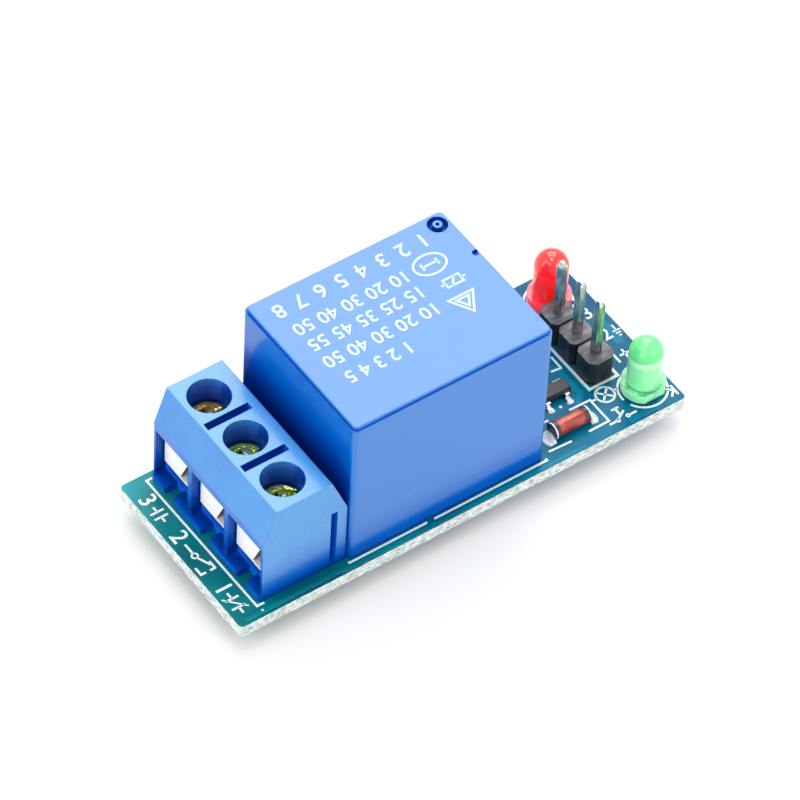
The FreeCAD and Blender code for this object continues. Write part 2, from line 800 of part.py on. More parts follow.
def lamp_lead(at, side):
    """One lamp lead: a plain post, or on the other side an anvil with a reflector cup."""
    x, y = at
    lead_y = y + side * lamp_lead_pitch / 2
    half = lamp_lead_size / 2
    height = lamp_post_height if side > 0 else lamp_anvil_height
    base = lamp_rise + height
    stem = box(x - half, x + half, lead_y - half, lead_y + half,
               -board_thickness - small_lead_drop, lamp_rise + lamp_flange_height)
    inner_y = lead_y - side * lamp_neck_length
    wide = y + side * (lamp_radius - lamp_neck_cover)
    narrow = (inner_y * side - half) * side
    if side < 0:
        narrow = y + lamp_cup_radius / 2
    neck = box(x - half, x + half, min(wide, narrow), max(wide, narrow),
               lamp_rise + lamp_flange_height, base)
    pieces = [neck]
    if side < 0:
        cup_y = y - lamp_cup_radius / 2
        cup_top = base + lamp_cup_height
        cup = faceted_bar(x, cup_y, base, cup_top, lamp_cup_radius / 2, lamp_cup_radius,
                          lamp_cup_sides)
        dish = faceted_bar(x, cup_y, base + lamp_cup_height / 2, cup_top,
                           lamp_cup_radius / 3, lamp_cup_radius - lamp_cup_wall, lamp_cup_sides)
        pieces.append(cup.cut(dish))
    return stem.fuse(pieces)


def make_lamp_lens(at):
    """A round-topped lens on a flange with one flat, moulded round its two leads."""
    x, y = at
    dome_z = lamp_height - lamp_radius
    flange = cylinder(x, y, lamp_rise, lamp_rise + lamp_flange_height, lamp_flange_radius)
    flat = box(x - lamp_flange_radius, x + lamp_flange_radius,
               y - lamp_flange_radius - over, y - lamp_flange_radius + lamp_flange_flat,
               lamp_rise - over, lamp_rise + lamp_flange_height + over)
    barrel = cylinder(x, y, lamp_rise, dome_z, lamp_radius)
    dome = Part.makeSphere(lamp_radius, V(x, y, top + dome_z), V(0, 0, 1), 0, 90, 360)
    lens = flange.cut(flat).fuse([barrel, dome])
    return lens.cut([lamp_lead(at, -1), lamp_lead(at, 1)])


# Flyback diode

def along_x(x0, x1, y, z, radius):
    """A round bar lying along the board."""
    return Part.makeCylinder(radius, x1 - x0, V(x0, y, top + z), V(1, 0, 0))


def make_diode_end(side):
    """A metal end cap with the slug that runs inwards to the chip."""
    x, y = diode_at
    outer = x + side * diode_length / 2
    inner = outer - side * diode_cap_length
    chip = x + side * diode_chip_length / 2
    cap = along_x(min(outer, inner), max(outer, inner), y, diode_radius, diode_radius)
    slug = along_x(min(inner, chip), max(inner, chip), y, diode_radius, diode_slug_radius)
    return cap.fuse(slug)


def make_diode_glass():
    """The glass sleeve between the two caps."""
    x, y = diode_at
    half = diode_length / 2 - diode_cap_length
    radius = diode_radius - diode_glass_inset
    tube = along_x(x - half, x + half, y, diode_radius, radius)
    return tube.cut(along_x(x - half - over, x + half + over, y, diode_radius,
                            radius - diode_glass_wall))


def make_diode_chip():
    x, y = diode_at
    half = diode_chip_length / 2
    side = diode_chip_width / 2
    return box(x - half, x + half, y - side, y + side, diode_radius - side, diode_radius + side)


# Driver transistor

def make_transistor_body():
    """A small moulded body whose sides lean in above and below its leads."""
    x, y = transistor_at
    half_w = transistor_width / 2
    middle = (transistor_standoff + transistor_height) / 2
    slope = transistor_draft
    section = [(y - half_w, middle), (y - half_w + slope, transistor_height),
               (y + half_w - slope, transistor_height), (y + half_w, middle),
               (y + half_w - slope, transistor_standoff), (y - half_w + slope, transistor_standoff)]
    return prism_yz(section, x - transistor_length / 2, x + transistor_length / 2)


def make_transistor_leads():
    """Three formed leads: two on the near side and one on the far side."""
    x, y = transistor_at
    middle = (transistor_standoff + transistor_height) / 2
    sheet = transistor_lead_sheet
    leads = []
    for offset, side in transistor_feet:
        start = transistor_width / 2
        knee = transistor_reach - transistor_foot
        end = transistor_reach
        outline = [(start, middle - sheet / 2), (knee - sheet, middle - sheet / 2), (knee - sheet, 0),
                   (end, 0), (end, sheet), (knee, sheet), (knee, middle + sheet / 2),
                   (start, middle + sheet / 2)]
        points = [(y + side * across, height) for across, height in outline]
        half = transistor_lead_width / 2
        leads.append(prism_yz(points, x + offset - half, x + offset + half))
    return group(leads)


# Chip resistors

def make_chip_body(y):
    """The ceramic of one chip resistor, narrowed where its end caps wrap round it."""
    half = chip_length / 2
    wall = chip_cap_wall
    waist = half - chip_cap
    middle = box(chip_x - waist, chip_x + waist, y - chip_width / 2, y + chip_width / 2,
                 wall, chip_height)
    core = box(chip_x - half + wall, chip_x + half - wall, y - chip_width / 2 + wall,
               y + chip_width / 2 - wall, wall, chip_height - wall)
    return middle.fuse(core)


def make_chip_caps(y):
    """The two plated ends of one chip resistor."""
    caps = []
    for side in (-1, 1):
        outer = chip_x + side * chip_length / 2
        inner = outer - side * chip_cap
        cap = box(min(outer, inner), max(outer, inner), y - chip_width / 2, y + chip_width / 2,
                  0, chip_height)
        caps.append(cap.cut(make_chip_body(y)))
    return group(caps)


# Solder on the small parts

def fillet_face(side, reach, height, place):
    """The hollow section of a solder fillet: place turns a reach and a height into a point."""
    corner, foot, crest = place(0, 0), place(side * reach, 0), place(0, height)
    waist = place(side * reach * fillet_sag, height * fillet_sag)
    outline = Part.Wire([Part.makeLine(corner, foot), Part.Arc(foot, waist, crest).toShape(),
                         Part.makeLine(crest, corner)])
    return Part.Face(outline)


def wedge_x(x, y, side, reach, width, height):
    """A fillet of solder that falls away along X from an upright face."""
    face = fillet_face(side, reach, height, lambda run, z: V(x + run, y - width / 2, top + z))
    return face.extrude(V(0, width, 0))


def wedge_y(x, y, side, reach, width, height):
    """A fillet of solder that falls away along Y from an upright face."""
    face = fillet_face(side, reach, height, lambda run, z: V(x - width / 2, y + run, top + z))
    return face.extrude(V(width, 0, 0))


def make_surface_solder():
    wedges = []
    for side in (-1, 1):
        end = diode_at[0] + side * diode_length / 2
        wedges.append(wedge_x(end, diode_at[1], side, diode_fillet, diode_radius * 2,
                              diode_solder_height))
        for y in chip_ys:
            wedges.append(wedge_x(chip_x + side * chip_length / 2, y, side, chip_fillet,
                                  chip_width, chip_solder_height))
    for offset, side in transistor_feet:
        wedges.append(wedge_y(transistor_at[0] + offset, transistor_at[1] + side * transistor_reach,
                              side, chip_fillet, transistor_solder_width, transistor_lead_sheet))
    return group(wedges)


# Write the pieces

save("circuit_board", make_board())
save("solder_joints", make_solder_joints())
save("surface_solder", make_surface_solder())

save("terminal_housing", make_terminal_housing())
for number, way_y in enumerate(way_ys, start=1):
    save("terminal_contact_%d" % number, make_terminal_contact(way_y))
    save("wire_guard_%d" % number, make_wire_guard(way_y))
    save("terminal_screw_%d" % number, make_terminal_screw(way_y))

save("relay_cover", make_relay_cover())
save("relay_base", make_relay_base())
save("relay_yoke", make_relay_yoke())
save("relay_core", make_relay_core())
save("relay_bobbin", make_relay_bobbin())
save("relay_coil", make_relay_coil())
save("relay_coil_pin_1", make_coil_pin("coil_closed"))
save("relay_coil_pin_2", make_coil_pin("coil_open"))
save("relay_common_pin", make_common_pin())
save("relay_armature", make_relay_armature())
save("relay_contact_strip", make_contact_strip())
save("relay_moving_contact", make_moving_contact())
save("relay_closed_contact", make_closed_contact())
save("relay_open_contact", make_open_contact())

save("header_housing", make_header_housing())
for number, pin_y in enumerate(header_ys, start=1):
    save("header_pin_%d" % number, make_header_pin(pin_y))

for lamp, lamp_at in (("red_lamp", red_lamp_at), ("green_lamp", green_lamp_at)):
    save(lamp + "_lens", make_lamp_lens(lamp_at))
    save(lamp + "_anode", lamp_lead(lamp_at, 1))
    save(lamp + "_cathode", lamp_lead(lamp_at, -1))

save("diode_glass", make_diode_glass())
save("diode_chip", make_diode_chip())
save("diode_cathode", make_diode_end(-1))
save("diode_anode", make_diode_end(1))

save("transistor_body", make_transistor_body())
save("transistor_leads", make_transistor_leads())

for number, chip_y in enumerate(chip_ys, start=1):
    save("resistor_%d_body" % number, make_chip_body(chip_y))
    save("resistor_%d_caps" % number, make_chip_caps(chip_y))
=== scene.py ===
import math

import bmesh
import bpy
from mathutils import Matrix, Vector


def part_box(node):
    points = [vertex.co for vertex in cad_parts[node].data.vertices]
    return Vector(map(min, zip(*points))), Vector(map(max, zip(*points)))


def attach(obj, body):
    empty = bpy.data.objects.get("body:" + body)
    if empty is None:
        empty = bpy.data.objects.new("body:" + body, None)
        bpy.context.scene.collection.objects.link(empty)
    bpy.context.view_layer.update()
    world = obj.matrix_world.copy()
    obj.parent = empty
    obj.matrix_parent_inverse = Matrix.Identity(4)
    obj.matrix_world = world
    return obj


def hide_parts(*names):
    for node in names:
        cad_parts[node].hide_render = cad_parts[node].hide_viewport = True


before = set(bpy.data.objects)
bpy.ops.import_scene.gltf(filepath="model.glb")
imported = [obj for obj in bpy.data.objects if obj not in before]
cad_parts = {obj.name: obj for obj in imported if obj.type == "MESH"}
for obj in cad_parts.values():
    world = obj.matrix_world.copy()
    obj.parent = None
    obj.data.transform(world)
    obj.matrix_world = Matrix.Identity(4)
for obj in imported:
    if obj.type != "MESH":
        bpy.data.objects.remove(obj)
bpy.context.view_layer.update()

X, Y, Z = range(3)
MM = 0.001


def middle_of(node_name):
    """The middle of a CAD node's box, in millimetres."""
    low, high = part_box(node_name)
    return (low + high) / 2 / MM


# Faces that carry print. The lid's own face is a little lower than the boss of its vent.
BOARD_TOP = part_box("circuit_board")[1].z
BOARD_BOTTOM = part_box("circuit_board")[0].z
VENT_RISE = 0.05 * MM
LID_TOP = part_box("relay_cover")[1].z - VENT_RISE

# The photograph's camera, found from the terminal pitch, the header pitch and the relay's edges.
# VIEW_ACROSS and VIEW_UP move it sideways and up from the line through the board's middle.
VIEW_AZIMUTH = math.radians(-37.642)
VIEW_ELEVATION = math.radians(49.1385)
VIEW_ROLL = math.radians(3.3278)
VIEW_DISTANCE = 478.076 * MM
VIEW_ACROSS = -0.426 * MM
VIEW_UP = 3.316 * MM
PHOTO_PIXELS = 800
FOCAL_PIXELS = 5974.5
SENSOR_WIDTH = 36.0

# Soft square light panels that face one point: name, place, width and power
PANEL_AIM = Vector((0, 0, 0.008))
PANELS = (("key_panel", (0.24, 0.33, 0.52), 0.50, 2.6),
          ("top_panel", (-0.03, 0.02, 0.70), 0.20, 0.9),
          ("near_panel", (0.28, -0.42, 0.26), 0.60, 1.45),
          ("left_panel", (-0.50, -0.02, 0.34), 0.60, 2.1))

# Strength of the world on the object, and where it is seen as white
EVEN_LIGHT = 0.56
WHITE = 1.0

# The floor's half width and colour, and its own light, which fades near the object: as openness
# over the reach in millimetres goes through its range, so does the share of light
FLOOR_HALF = 1.5
FLOOR_COLOUR = (0.86, 0.86, 0.87, 1)
SHADOW_REACH = 13
SHADOW_OPENNESS = (0.25, 0.97)
FLOOR_LIGHT = (0.08, 0.6)

# Rays that look for hollows from each spot of the floor, the blue plastics and the screws
SHADE_SAMPLES = 12

# Small parts, in millimetres. The diode's cap and its rim start at these distances from its middle.
LAMP_HEIGHT = (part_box("green_lamp_lens")[1].z - BOARD_TOP) / MM
DIODE_MIDDLE = middle_of("diode_glass").x
DIODE_CAP_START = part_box("diode_glass")[1].x / MM - DIODE_MIDDLE
DIODE_RIM_START = 1.6
HEADER_PINS = [middle_of("header_pin_%d" % number) for number in (1, 2, 3)]
HEADER_GROOVES = [(near.y + far.y) / 2 for near, far in zip(HEADER_PINS, HEADER_PINS[1:])]
RESISTORS = [middle_of("resistor_%d_body" % number) for number in (1, 2, 3)]

# Bands of colour in the lamps: the share of the height, and the colour there
RED_BANDS = ((0.02, (206, 40, 70)), (0.06, (250, 70, 96)), (0.19, (250, 60, 76)),
             (0.24, (255, 34, 22)), (0.73, (255, 34, 22)), (0.77, (232, 18, 14)),
             (0.95, (250, 44, 38)))
# In the green bands, the dark stop at 0.195, just above the flange, is a painted shadow line.
GREEN_BANDS = ((0.02, (50, 150, 96)), (0.06, (140, 236, 166)), (0.175, (156, 244, 178)),
               (0.195, (58, 160, 100)), (0.225, (140, 236, 164)), (0.6, (134, 232, 156)),
               (0.73, (194, 252, 202)), (0.77, (108, 222, 144)), (0.95, (120, 230, 152)))

# Plate colours of the three screws: body, tint and warm
ZINC_PLATES = (("zinc_orange", (255, 176, 50), (255, 220, 110), (255, 252, 220)),
               ("zinc_green", (176, 236, 84), (224, 255, 120), (255, 255, 226)),
               ("zinc_yellow", (196, 236, 76), (240, 255, 110), (255, 255, 222)))

# Ink, in millimetres, and how much bolder than plain type the figures are, by their size
INK_THICKNESS = 0.02
BOARD_LINE = 0.19
LID_LINE = 0.2
FINE_LINE = 0.14
BOARD_WEIGHT = 0.008
LID_WEIGHT = 0.012

# Rows of figures on the lid: place along Y, size, figures, middle along X and spacing
LID_ROWS = ((5.78, 2.0, "1 2 3 4 5 6 7 8", -1.9, 1.2), (3.4, 1.75, "10 20 30 40 50", -3.5, 1.02),
            (1.43, 1.75, "15 25 35 45 55", -3.45, 1.02),
            (-0.62, 1.75, "10 20 30 40 50", -3.45, 1.02), (-2.8, 1.75, "1 2 3 4 5", -5.2, 1.0))


# Node helpers

def add_node(tree, kind, **settings):
    made = tree.nodes.new("ShaderNode" + kind)
    for name, value in settings.items():
        setattr(made, name, value)
    return made


def spread(tree, value, low, high, start=0.0, end=1.0):
    """A number that runs from low to high as value runs from start to end."""
    span = add_node(tree, "MapRange")
    limits = {"From Min": start, "From Max": end, "To Min": low, "To Max": high}
    for name, limit in limits.items():
        span.inputs[name].default_value = limit
    tree.links.new(value, span.inputs["Value"])
    return span.outputs["Result"]


def maths(tree, operation, first, second=0.0):
    """Arithmetic on two values, each of them a number or a socket."""
    made = add_node(tree, "Math", operation=operation)
    for socket, value in zip(made.inputs, (first, second)):
        if isinstance(value, (int, float)):
            socket.default_value = value
        else:
            tree.links.new(value, socket)
    return made.outputs[0]


# Camera, light and floor

def add_camera():
    """The camera looks at the middle of the board's top face, with a small roll."""
    back = Vector((math.sin(VIEW_AZIMUTH) * math.cos(VIEW_ELEVATION),
                   -math.cos(VIEW_AZIMUTH) * math.cos(VIEW_ELEVATION), math.sin(VIEW_ELEVATION)))
    level_right = Vector((0, 0, 1)).cross(back).normalized()
    level_up = back.cross(level_right)
    right = math.cos(VIEW_ROLL) * level_right + math.sin(VIEW_ROLL) * level_up
    up = -math.sin(VIEW_ROLL) * level_right + math.cos(VIEW_ROLL) * level_up
    place = (Vector((0, 0, BOARD_TOP)) + VIEW_ACROSS * right + VIEW_UP * up
             + VIEW_DISTANCE * back)
    data = bpy.data.cameras.new("camera")
    data.sensor_width = SENSOR_WIDTH
    data.lens = FOCAL_PIXELS * SENSOR_WIDTH / PHOTO_PIXELS
    data.clip_start = 0.01
    data.clip_end = 10
    camera = bpy.data.objects.new("camera", data)
    facing = Matrix((right, up, back)).transposed().to_4x4()
    camera.matrix_world = Matrix.Translation(place) @ facing
    bpy.context.scene.collection.objects.link(camera)
    bpy.context.scene.camera = camera


def add_panel(name, place, width, power):
    """A soft square light that faces the middle of the object."""
    data = bpy.data.lights.new(name, "AREA")
    data.shape = "SQUARE"
    data.size = width
    data.energy = power
    panel = bpy.data.objects.new(name, data)
    aim = PANEL_AIM - Vector(place)
    panel.rotation_euler = aim.to_track_quat("-Z", "Y").to_euler()
    panel.location = place
    bpy.context.scene.collection.objects.link(panel)


def seen_directly(tree):
    """1 for the camera's own rays and for those off gloss or through glass, else 0."""
    path = add_node(tree, "LightPath")
    total = path.outputs["Is Camera Ray"]
    for name in ("Is Glossy Ray", "Is Transmission Ray"):
        total = maths(tree, "MAXIMUM", total, path.outputs[name])
    return total


def set_world():
    """White where it is seen, and a weaker even light on the object."""
    world = bpy.data.worlds.new("studio")
    bpy.context.scene.world = world
    world.use_nodes = True
    tree = world.node_tree
    background = tree.nodes["Background"]
    background.inputs["Color"].default_value = (1, 1, 1, 1)
    strength = spread(tree, seen_directly(tree), EVEN_LIGHT, WHITE)
    tree.links.new(strength, background.inputs["Strength"])


def floor_paper():
    """White paper with some light of its own where it is seen, and less of it near the object."""
    material = bpy.data.materials.new("floor_white")
    material.use_nodes = True
    tree = material.node_tree
    tree.nodes.clear()
    paper = add_node(tree, "BsdfDiffuse")
    paper.inputs["Color"].default_value = FLOOR_COLOUR
    glow = add_node(tree, "Emission")
    glow.inputs["Strength"].default_value = WHITE
    shade = add_node(tree, "AmbientOcclusion", samples=SHADE_SAMPLES)
    shade.inputs["Distance"].default_value = SHADOW_REACH * MM
    open_share = spread(tree, shade.outputs["AO"], *FLOOR_LIGHT, *SHADOW_OPENNESS)
    mix = add_node(tree, "MixShader")
    tree.links.new(maths(tree, "MULTIPLY", seen_directly(tree), open_share), mix.inputs["Fac"])
    tree.links.new(paper.outputs[0], mix.inputs[1])
    tree.links.new(glow.outputs[0], mix.inputs[2])
    output = add_node(tree, "OutputMaterial")
    tree.links.new(mix.outputs[0], output.inputs["Surface"])
    return material


def add_floor():
    """A plain white floor that keeps a light shadow."""
    low, high = -FLOOR_HALF, FLOOR_HALF
    mesh = bpy.data.meshes.new("floor")
    mesh.from_pydata([(low, low, 0), (high, low, 0), (high, high, 0), (low, high, 0)],
                     [], [(0, 1, 2, 3)])
    mesh.materials.append(floor_paper())
    floor = bpy.data.objects.new("floor", mesh)
    bpy.context.scene.collection.objects.link(floor)


def set_scene():
    bpy.context.scene.view_settings.view_transform = "Standard"
    add_camera()
    set_world()
    add_floor()
    for panel in PANELS:
        add_panel(*panel)


# Material helpers

def linear(red, green, blue):
    """A colour given as 0 to 255, as the shader wants it."""
    parts = []
    for value in (red, green, blue):
        share = value / 255
        parts.append(share / 12.92 if share <= 0.04045 else ((share + 0.055) / 1.055) ** 2.4)
    return (*parts, 1.0)


class Finish:
    """A material under construction: its nodes and its main shader."""

    def __init__(self, name):
        self.material = bpy.data.materials.new(name)
        self.material.use_nodes = True
        self.tree = self.material.node_tree
        self.shader = self.tree.nodes["Principled BSDF"]
        self.coords = self.tree.nodes.new("ShaderNodeTexCoord").outputs["Object"]

    def node(self, kind, **settings):
        return add_node(self.tree, kind, **settings)

    def link(self, source, target):
        self.tree.links.new(source, target)

    def set(self, **values):
        """Constants on the main shader, by the names of its sockets."""
        for name, value in values.items():
            self.shader.inputs[name.replace("_", " ")].default_value = value

    def drive(self, socket, source):
        """Let a socket of the main shader follow a source."""
        self.link(source, self.shader.inputs[socket])

    def noise(self, size, detail=3.0, rough=0.55, stretch=(1, 1, 1)):
        """Soft noise whose grains are about size across, in millimetres."""
        mapping = self.node("Mapping")
        mapping.inputs["Scale"].default_value = stretch
        self.link(self.coords, mapping.inputs["Vector"])
        texture = self.node("TexNoise")
        texture.inputs["Scale"].default_value = 1 / (size * MM)
        texture.inputs["Detail"].default_value = detail
        texture.inputs["Roughness"].default_value = rough
        self.link(mapping.outputs["Vector"], texture.inputs["Vector"])
        return texture.outputs["Fac"]

    def ramp(self, value, stops):
        """A colour ramp over (position, colour) stops."""
        ramp = self.node("ValToRGB")
        elements = ramp.color_ramp.elements
        while len(elements) < len(stops):
            elements.new(0.5)
        for element, (position, colour) in zip(elements, stops):
            element.position = position
            element.color = colour
        self.link(value, ramp.inputs["Fac"])
        return ramp.outputs["Color"]

    def spread(self, value, low, high, start=0.3, end=0.7):
        """A number that runs from low to high as value runs from start to end."""
        return spread(self.tree, value, low, high, start, end)

    def maths(self, operation, first, second=0.0):
        return maths(self.tree, operation, first, second)

    def mix(self, share, first, second):
        """A blend of two colours by share."""
        made = self.node("Mix", data_type="RGBA")
        for socket, value in ((made.inputs["Factor"], share), (made.inputs["A"], first),
                              (made.inputs["B"], second)):
            if isinstance(value, (int, float, tuple)):
                socket.default_value = value
            else:
                self.link(value, socket)
        return made.outputs["Result"]

    def along(self, axis):
        """The place along an axis, in metres."""
        return self.axis_part(self.coords, axis)

    def normal_part(self, axis):
        """One part of the surface's direction."""
        return self.axis_part(self.node("NewGeometry").outputs["Normal"], axis)

    def axis_part(self, vector, axis):
        parts = self.node("SeparateXYZ")
        self.link(vector, parts.inputs["Vector"])
        return parts.outputs[axis]

    def colour(self, source):
        self.drive("Base Color", source)

    def roughness(self, source):
        self.drive("Roughness", source)

    def place(self, axis, start, end):
        """A share that runs from 0 to 1 between two places along an axis, in millimetres."""
        return self.spread(self.along(axis), 0.0, 1.0, start * MM, end * MM)

    def apart(self, axis, centre, start, end):
        """A share that runs from 0 to 1 between two distances from a place, in millimetres."""
        offset = self.maths("SUBTRACT", self.along(axis), centre * MM)
        return self.spread(self.maths("ABSOLUTE", offset), 0.0, 1.0, start * MM, end * MM)

    def hollow(self, reach):
        """0 deep in a hollow up to 1 on an open face; reach is in millimetres."""
        shade = self.node("AmbientOcclusion", samples=SHADE_SAMPLES)
        shade.inputs["Distance"].default_value = reach * MM
        return shade.outputs["AO"]

    def bump(self, height, depth, strength, edge=None):
        """Relief from a height map, with its full depth and any edge rounding in millimetres."""
        made = self.node("Bump")
        made.inputs["Strength"].default_value = strength
        made.inputs["Distance"].default_value = depth * MM
        self.link(height, made.inputs["Height"])
        if edge:
            rounding = self.node("Bevel", samples=6)
            rounding.inputs["Radius"].default_value = edge * MM
            self.link(rounding.outputs["Normal"], made.inputs["Normal"])
        self.drive("Normal", made.outputs["Normal"])


def dress(node_name, finish):
    """Give a CAD node its material."""
    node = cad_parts[node_name]
    node.data.materials.clear()
    node.data.materials.append(finish.material)


# Materials

def moulded_plastic(name, colour, shade, gloss, grain=0.25, depth=0.006):
    """Moulded plastic: slight colour drift and a fine satin grain."""
    finish = Finish(name)
    drift = finish.noise(5.0, 2.0)
    finish.colour(finish.ramp(drift, [(0.3, linear(*shade)), (0.7, linear(*colour))]))
    finish.roughness(finish.spread(finish.noise(2.5, 4.0), gloss - 0.05, gloss + 0.06))
    grains = finish.noise(grain, 2.0)
    finish.bump(grains, depth, 0.3, 0.1)
    return finish


def glossy_blue(name, slot_painted_light, deep, middle, pale, gloss, grain):
    """Glossy blue plastic whose colour carries painted shade and light: painted shade in hollows,
    low down and on the side that faces the terminal end, and a painted paleness on open faces,
    which are also shinier.

    Narrow slots have a lighter tint of their own, a painted light that makes up for light that the
    plastic lets through."""
    finish = Finish(name)
    low = BOARD_TOP / MM
    # Painted shade low down: the colour darkens towards the board over this height in millimetres.
    shade_fade_height = 5.5
    lift = finish.spread(finish.place(Z, low, low + shade_fade_height), 0.66, 1.0, 0.0, 1.0)
    # Painted shade on faces turned towards -X, the terminal end.
    left_face_shade = finish.spread(finish.normal_part(X), 0.27, 0.0, -1.0, -0.9)
    # Painted light and shade together: high on open faces, low in hollows, low down and on the -X
    # side.
    painted_light_level = finish.maths("SUBTRACT", finish.maths("MULTIPLY", finish.hollow(3.0), lift),
                             left_face_shade)
    drift = finish.spread(finish.noise(4.0, 3.0), -0.04, 0.04)
    stops = [(0.06, linear(*slot_painted_light)), (0.26, linear(*deep)), (0.62, linear(*middle)),
             (0.95, linear(*pale))]
    finish.colour(finish.ramp(finish.maths("ADD", painted_light_level, drift), stops))
    haze = finish.noise(2.5, 4.0)
    finish.roughness(finish.spread(haze, gloss - 0.04, gloss + 0.05))
    finish.drive("Coat Weight", finish.spread(painted_light_level, 0.0, 0.55, 0.45, 0.92))
    finish.drive("Specular IOR Level", finish.spread(painted_light_level, 0.02, 0.5, 0.5, 0.9))
    grains = finish.noise(0.35, 2.0)
    finish.bump(grains, grain, 0.3, 0.1)
    finish.set(IOR=1.5, Coat_Roughness=0.12, Coat_IOR=1.5)
    return finish


def header_plastic():
    """The header's black plastic, with a painted grey sheen on its upward faces but not in their
    grooves.
    """
    finish = Finish("black_moulding")
    streak = finish.noise(1.1, 3.0, 0.6, (1, 2.2, 1))
    painted_sheen = finish.ramp(streak, [(0.3, linear(66, 64, 70)), (0.5, linear(88, 86, 94)),
                                (0.7, linear(124, 122, 130))])
    plain = finish.ramp(streak, [(0.3, linear(10, 12, 16)), (0.7, linear(26, 28, 36))])
    first, second = (finish.apart(Y, groove, 0.05, 0.2) for groove in HEADER_GROOVES)
    clear = finish.maths("MULTIPLY", first, second)
    painted_sheen = finish.mix(clear, plain, painted_sheen)
    finish.drive("Specular IOR Level", finish.spread(clear, 0.0, 0.5, 0.0, 1.0))
    # The painted sheen goes on upward faces only; the rest keeps the plain black.
    up = finish.maths("GREATER_THAN", finish.normal_part(Z), 0.5)
    finish.colour(finish.mix(up, plain, painted_sheen))
    finish.roughness(finish.spread(streak, 0.5, 0.32))
    finish.bump(finish.noise(0.5, 3.0), 0.04, 0.4, 0.12)
    return finish


def solder_mask(name, lift=0):
    """Mask on the board's faces, teal on the left and bluer on the right, and pale cut edges.

    The far left corner is paler, and lift makes the mask paler where copper runs under it."""
    finish = Finish(name)
    along = finish.place(X, -12.0, 14.0)
    cloud = finish.noise(5.0, 3.0)
    teal = finish.ramp(cloud, [(0.3, linear(0, 92 + lift, 104 + lift)),
                               (0.7, linear(0, 122 + lift, 126 + lift))])
    blue = finish.ramp(cloud, [(0.3, linear(0, 82 + lift, 122 + lift)),
                               (0.7, linear(0, 118 + lift, 150 + lift))])
    mask = finish.mix(along, teal, blue)
    corner = finish.maths("MULTIPLY", finish.place(X, -17.5, -21.7), finish.place(Y, 1.0, 8.6))
    pale = finish.ramp(cloud, [(0.3, linear(10, 132 + lift, 140 + lift)),
                               (0.7, linear(34, 160 + lift, 164 + lift))])
    mask = finish.mix(corner, mask, pale)
    fibre = finish.noise(0.5, 5.0, 0.7, (1, 1, 3.0))
    edge = finish.ramp(fibre, [(0.3, linear(110, 134, 130)), (0.46, linear(190, 204, 198)),
                               (0.6, linear(246, 248, 244))])
    flat = finish.maths("ABSOLUTE", finish.normal_part(Z))
    share = finish.maths("GREATER_THAN", flat, 0.5)
    finish.colour(finish.mix(share, edge, mask))
    finish.roughness(finish.spread(share, 0.8, 0.24, 0.0, 1.0))
    weave = finish.noise(0.6, 2.0, 0.4, (1, 3, 1))
    relief = finish.mix(share, fibre, weave)
    finish.bump(relief, 0.03, 0.3, 0.05)
    finish.set(Specular_IOR_Level=0.12)
    return finish


def metal(name, colour, shade, gloss, scratch=(1, 1, 12), grain=0.6, share=1.0):
    """Bright metal with drawn marks along one axis."""
    finish = Finish(name)
    marks = finish.noise(grain, 5.0, 0.65, scratch)
    finish.colour(finish.ramp(marks, [(0.3, linear(*shade)), (0.65, linear(*colour))]))
    finish.roughness(finish.spread(marks, gloss + 0.12, gloss))
    finish.bump(marks, 0.01, 0.3, 0.05)
    finish.set(Metallic=share)
    return finish


def contact_strip():
    """Plated loops in the terminal ways, coloured dark as painted shade, with bright tinned pins
    under the board.
    """
    finish = Finish("tinned_strip")
    marks = finish.noise(0.6, 5.0, 0.65, (1, 1, 6))
    # Painted shade: the loops inside the terminal are coloured dark.
    painted_dark = finish.ramp(marks, [(0.3, linear(74, 72, 68)), (0.65, linear(128, 126, 120))])
    bright = finish.ramp(marks, [(0.3, linear(176, 178, 180)), (0.65, linear(228, 230, 230))])
    low = BOARD_BOTTOM / MM
    finish.colour(finish.mix(finish.place(Z, low - 0.1, low + 0.3), bright, painted_dark))
    finish.roughness(finish.spread(marks, 0.42, 0.3))
    finish.bump(marks, 0.01, 0.3, 0.05)
    finish.set(Metallic=1.0)
    return finish


def guard_leaf():
    """Wire guards painted near white, which stands in for their reflection of the white
    surroundings, with painted shade on their sides that face along Y.
    """
    finish = Finish("bright_leaf")
    marks = finish.noise(0.6, 5.0, 0.65, (1, 6, 1))
    # Painted reflection: near white in place of the white surroundings that the steel reflects.
    bright = finish.ramp(marks, [(0.3, linear(248, 248, 250)), (0.65, linear(255, 255, 255))])
    # Painted shade for the sides that face along Y.
    dark = finish.ramp(marks, [(0.3, linear(24, 26, 34)), (0.65, linear(60, 62, 72))])
    side = finish.maths("ABSOLUTE", finish.normal_part(Y))
    finish.colour(finish.mix(finish.maths("GREATER_THAN", side, 0.6), bright, dark))
    finish.roughness(finish.spread(marks, 0.46, 0.34))
    finish.bump(marks, 0.01, 0.3, 0.03)
    finish.set(Metallic=0.05)
    return finish


def zinc(name, body, tint, warm):
    """Iridescent zinc plate with cloudy colours, and painted shade in the slots of the head."""
    finish = Finish(name)
    cloud = finish.noise(0.7, 2.0)
    plate = finish.ramp(cloud, [(0.36, linear(*body)), (0.5, linear(*tint)),
                                (0.64, linear(*warm))])
    # Painted shade: the slots and other hollows of the head are darkened.
    slot_shade_share = finish.spread(finish.hollow(0.45), 0.0, 1.0, 0.35, 0.7)
    dark = [part / 4 for part in body]
    finish.colour(finish.mix(slot_shade_share, linear(*dark), plate))
    finish.roughness(finish.spread(cloud, 0.26, 0.14))
    finish.bump(cloud, 0.3, 0.8, 0.2)
    finish.set(Metallic=0.75, Coat_Weight=0.5, Coat_Roughness=0.06)
    return finish


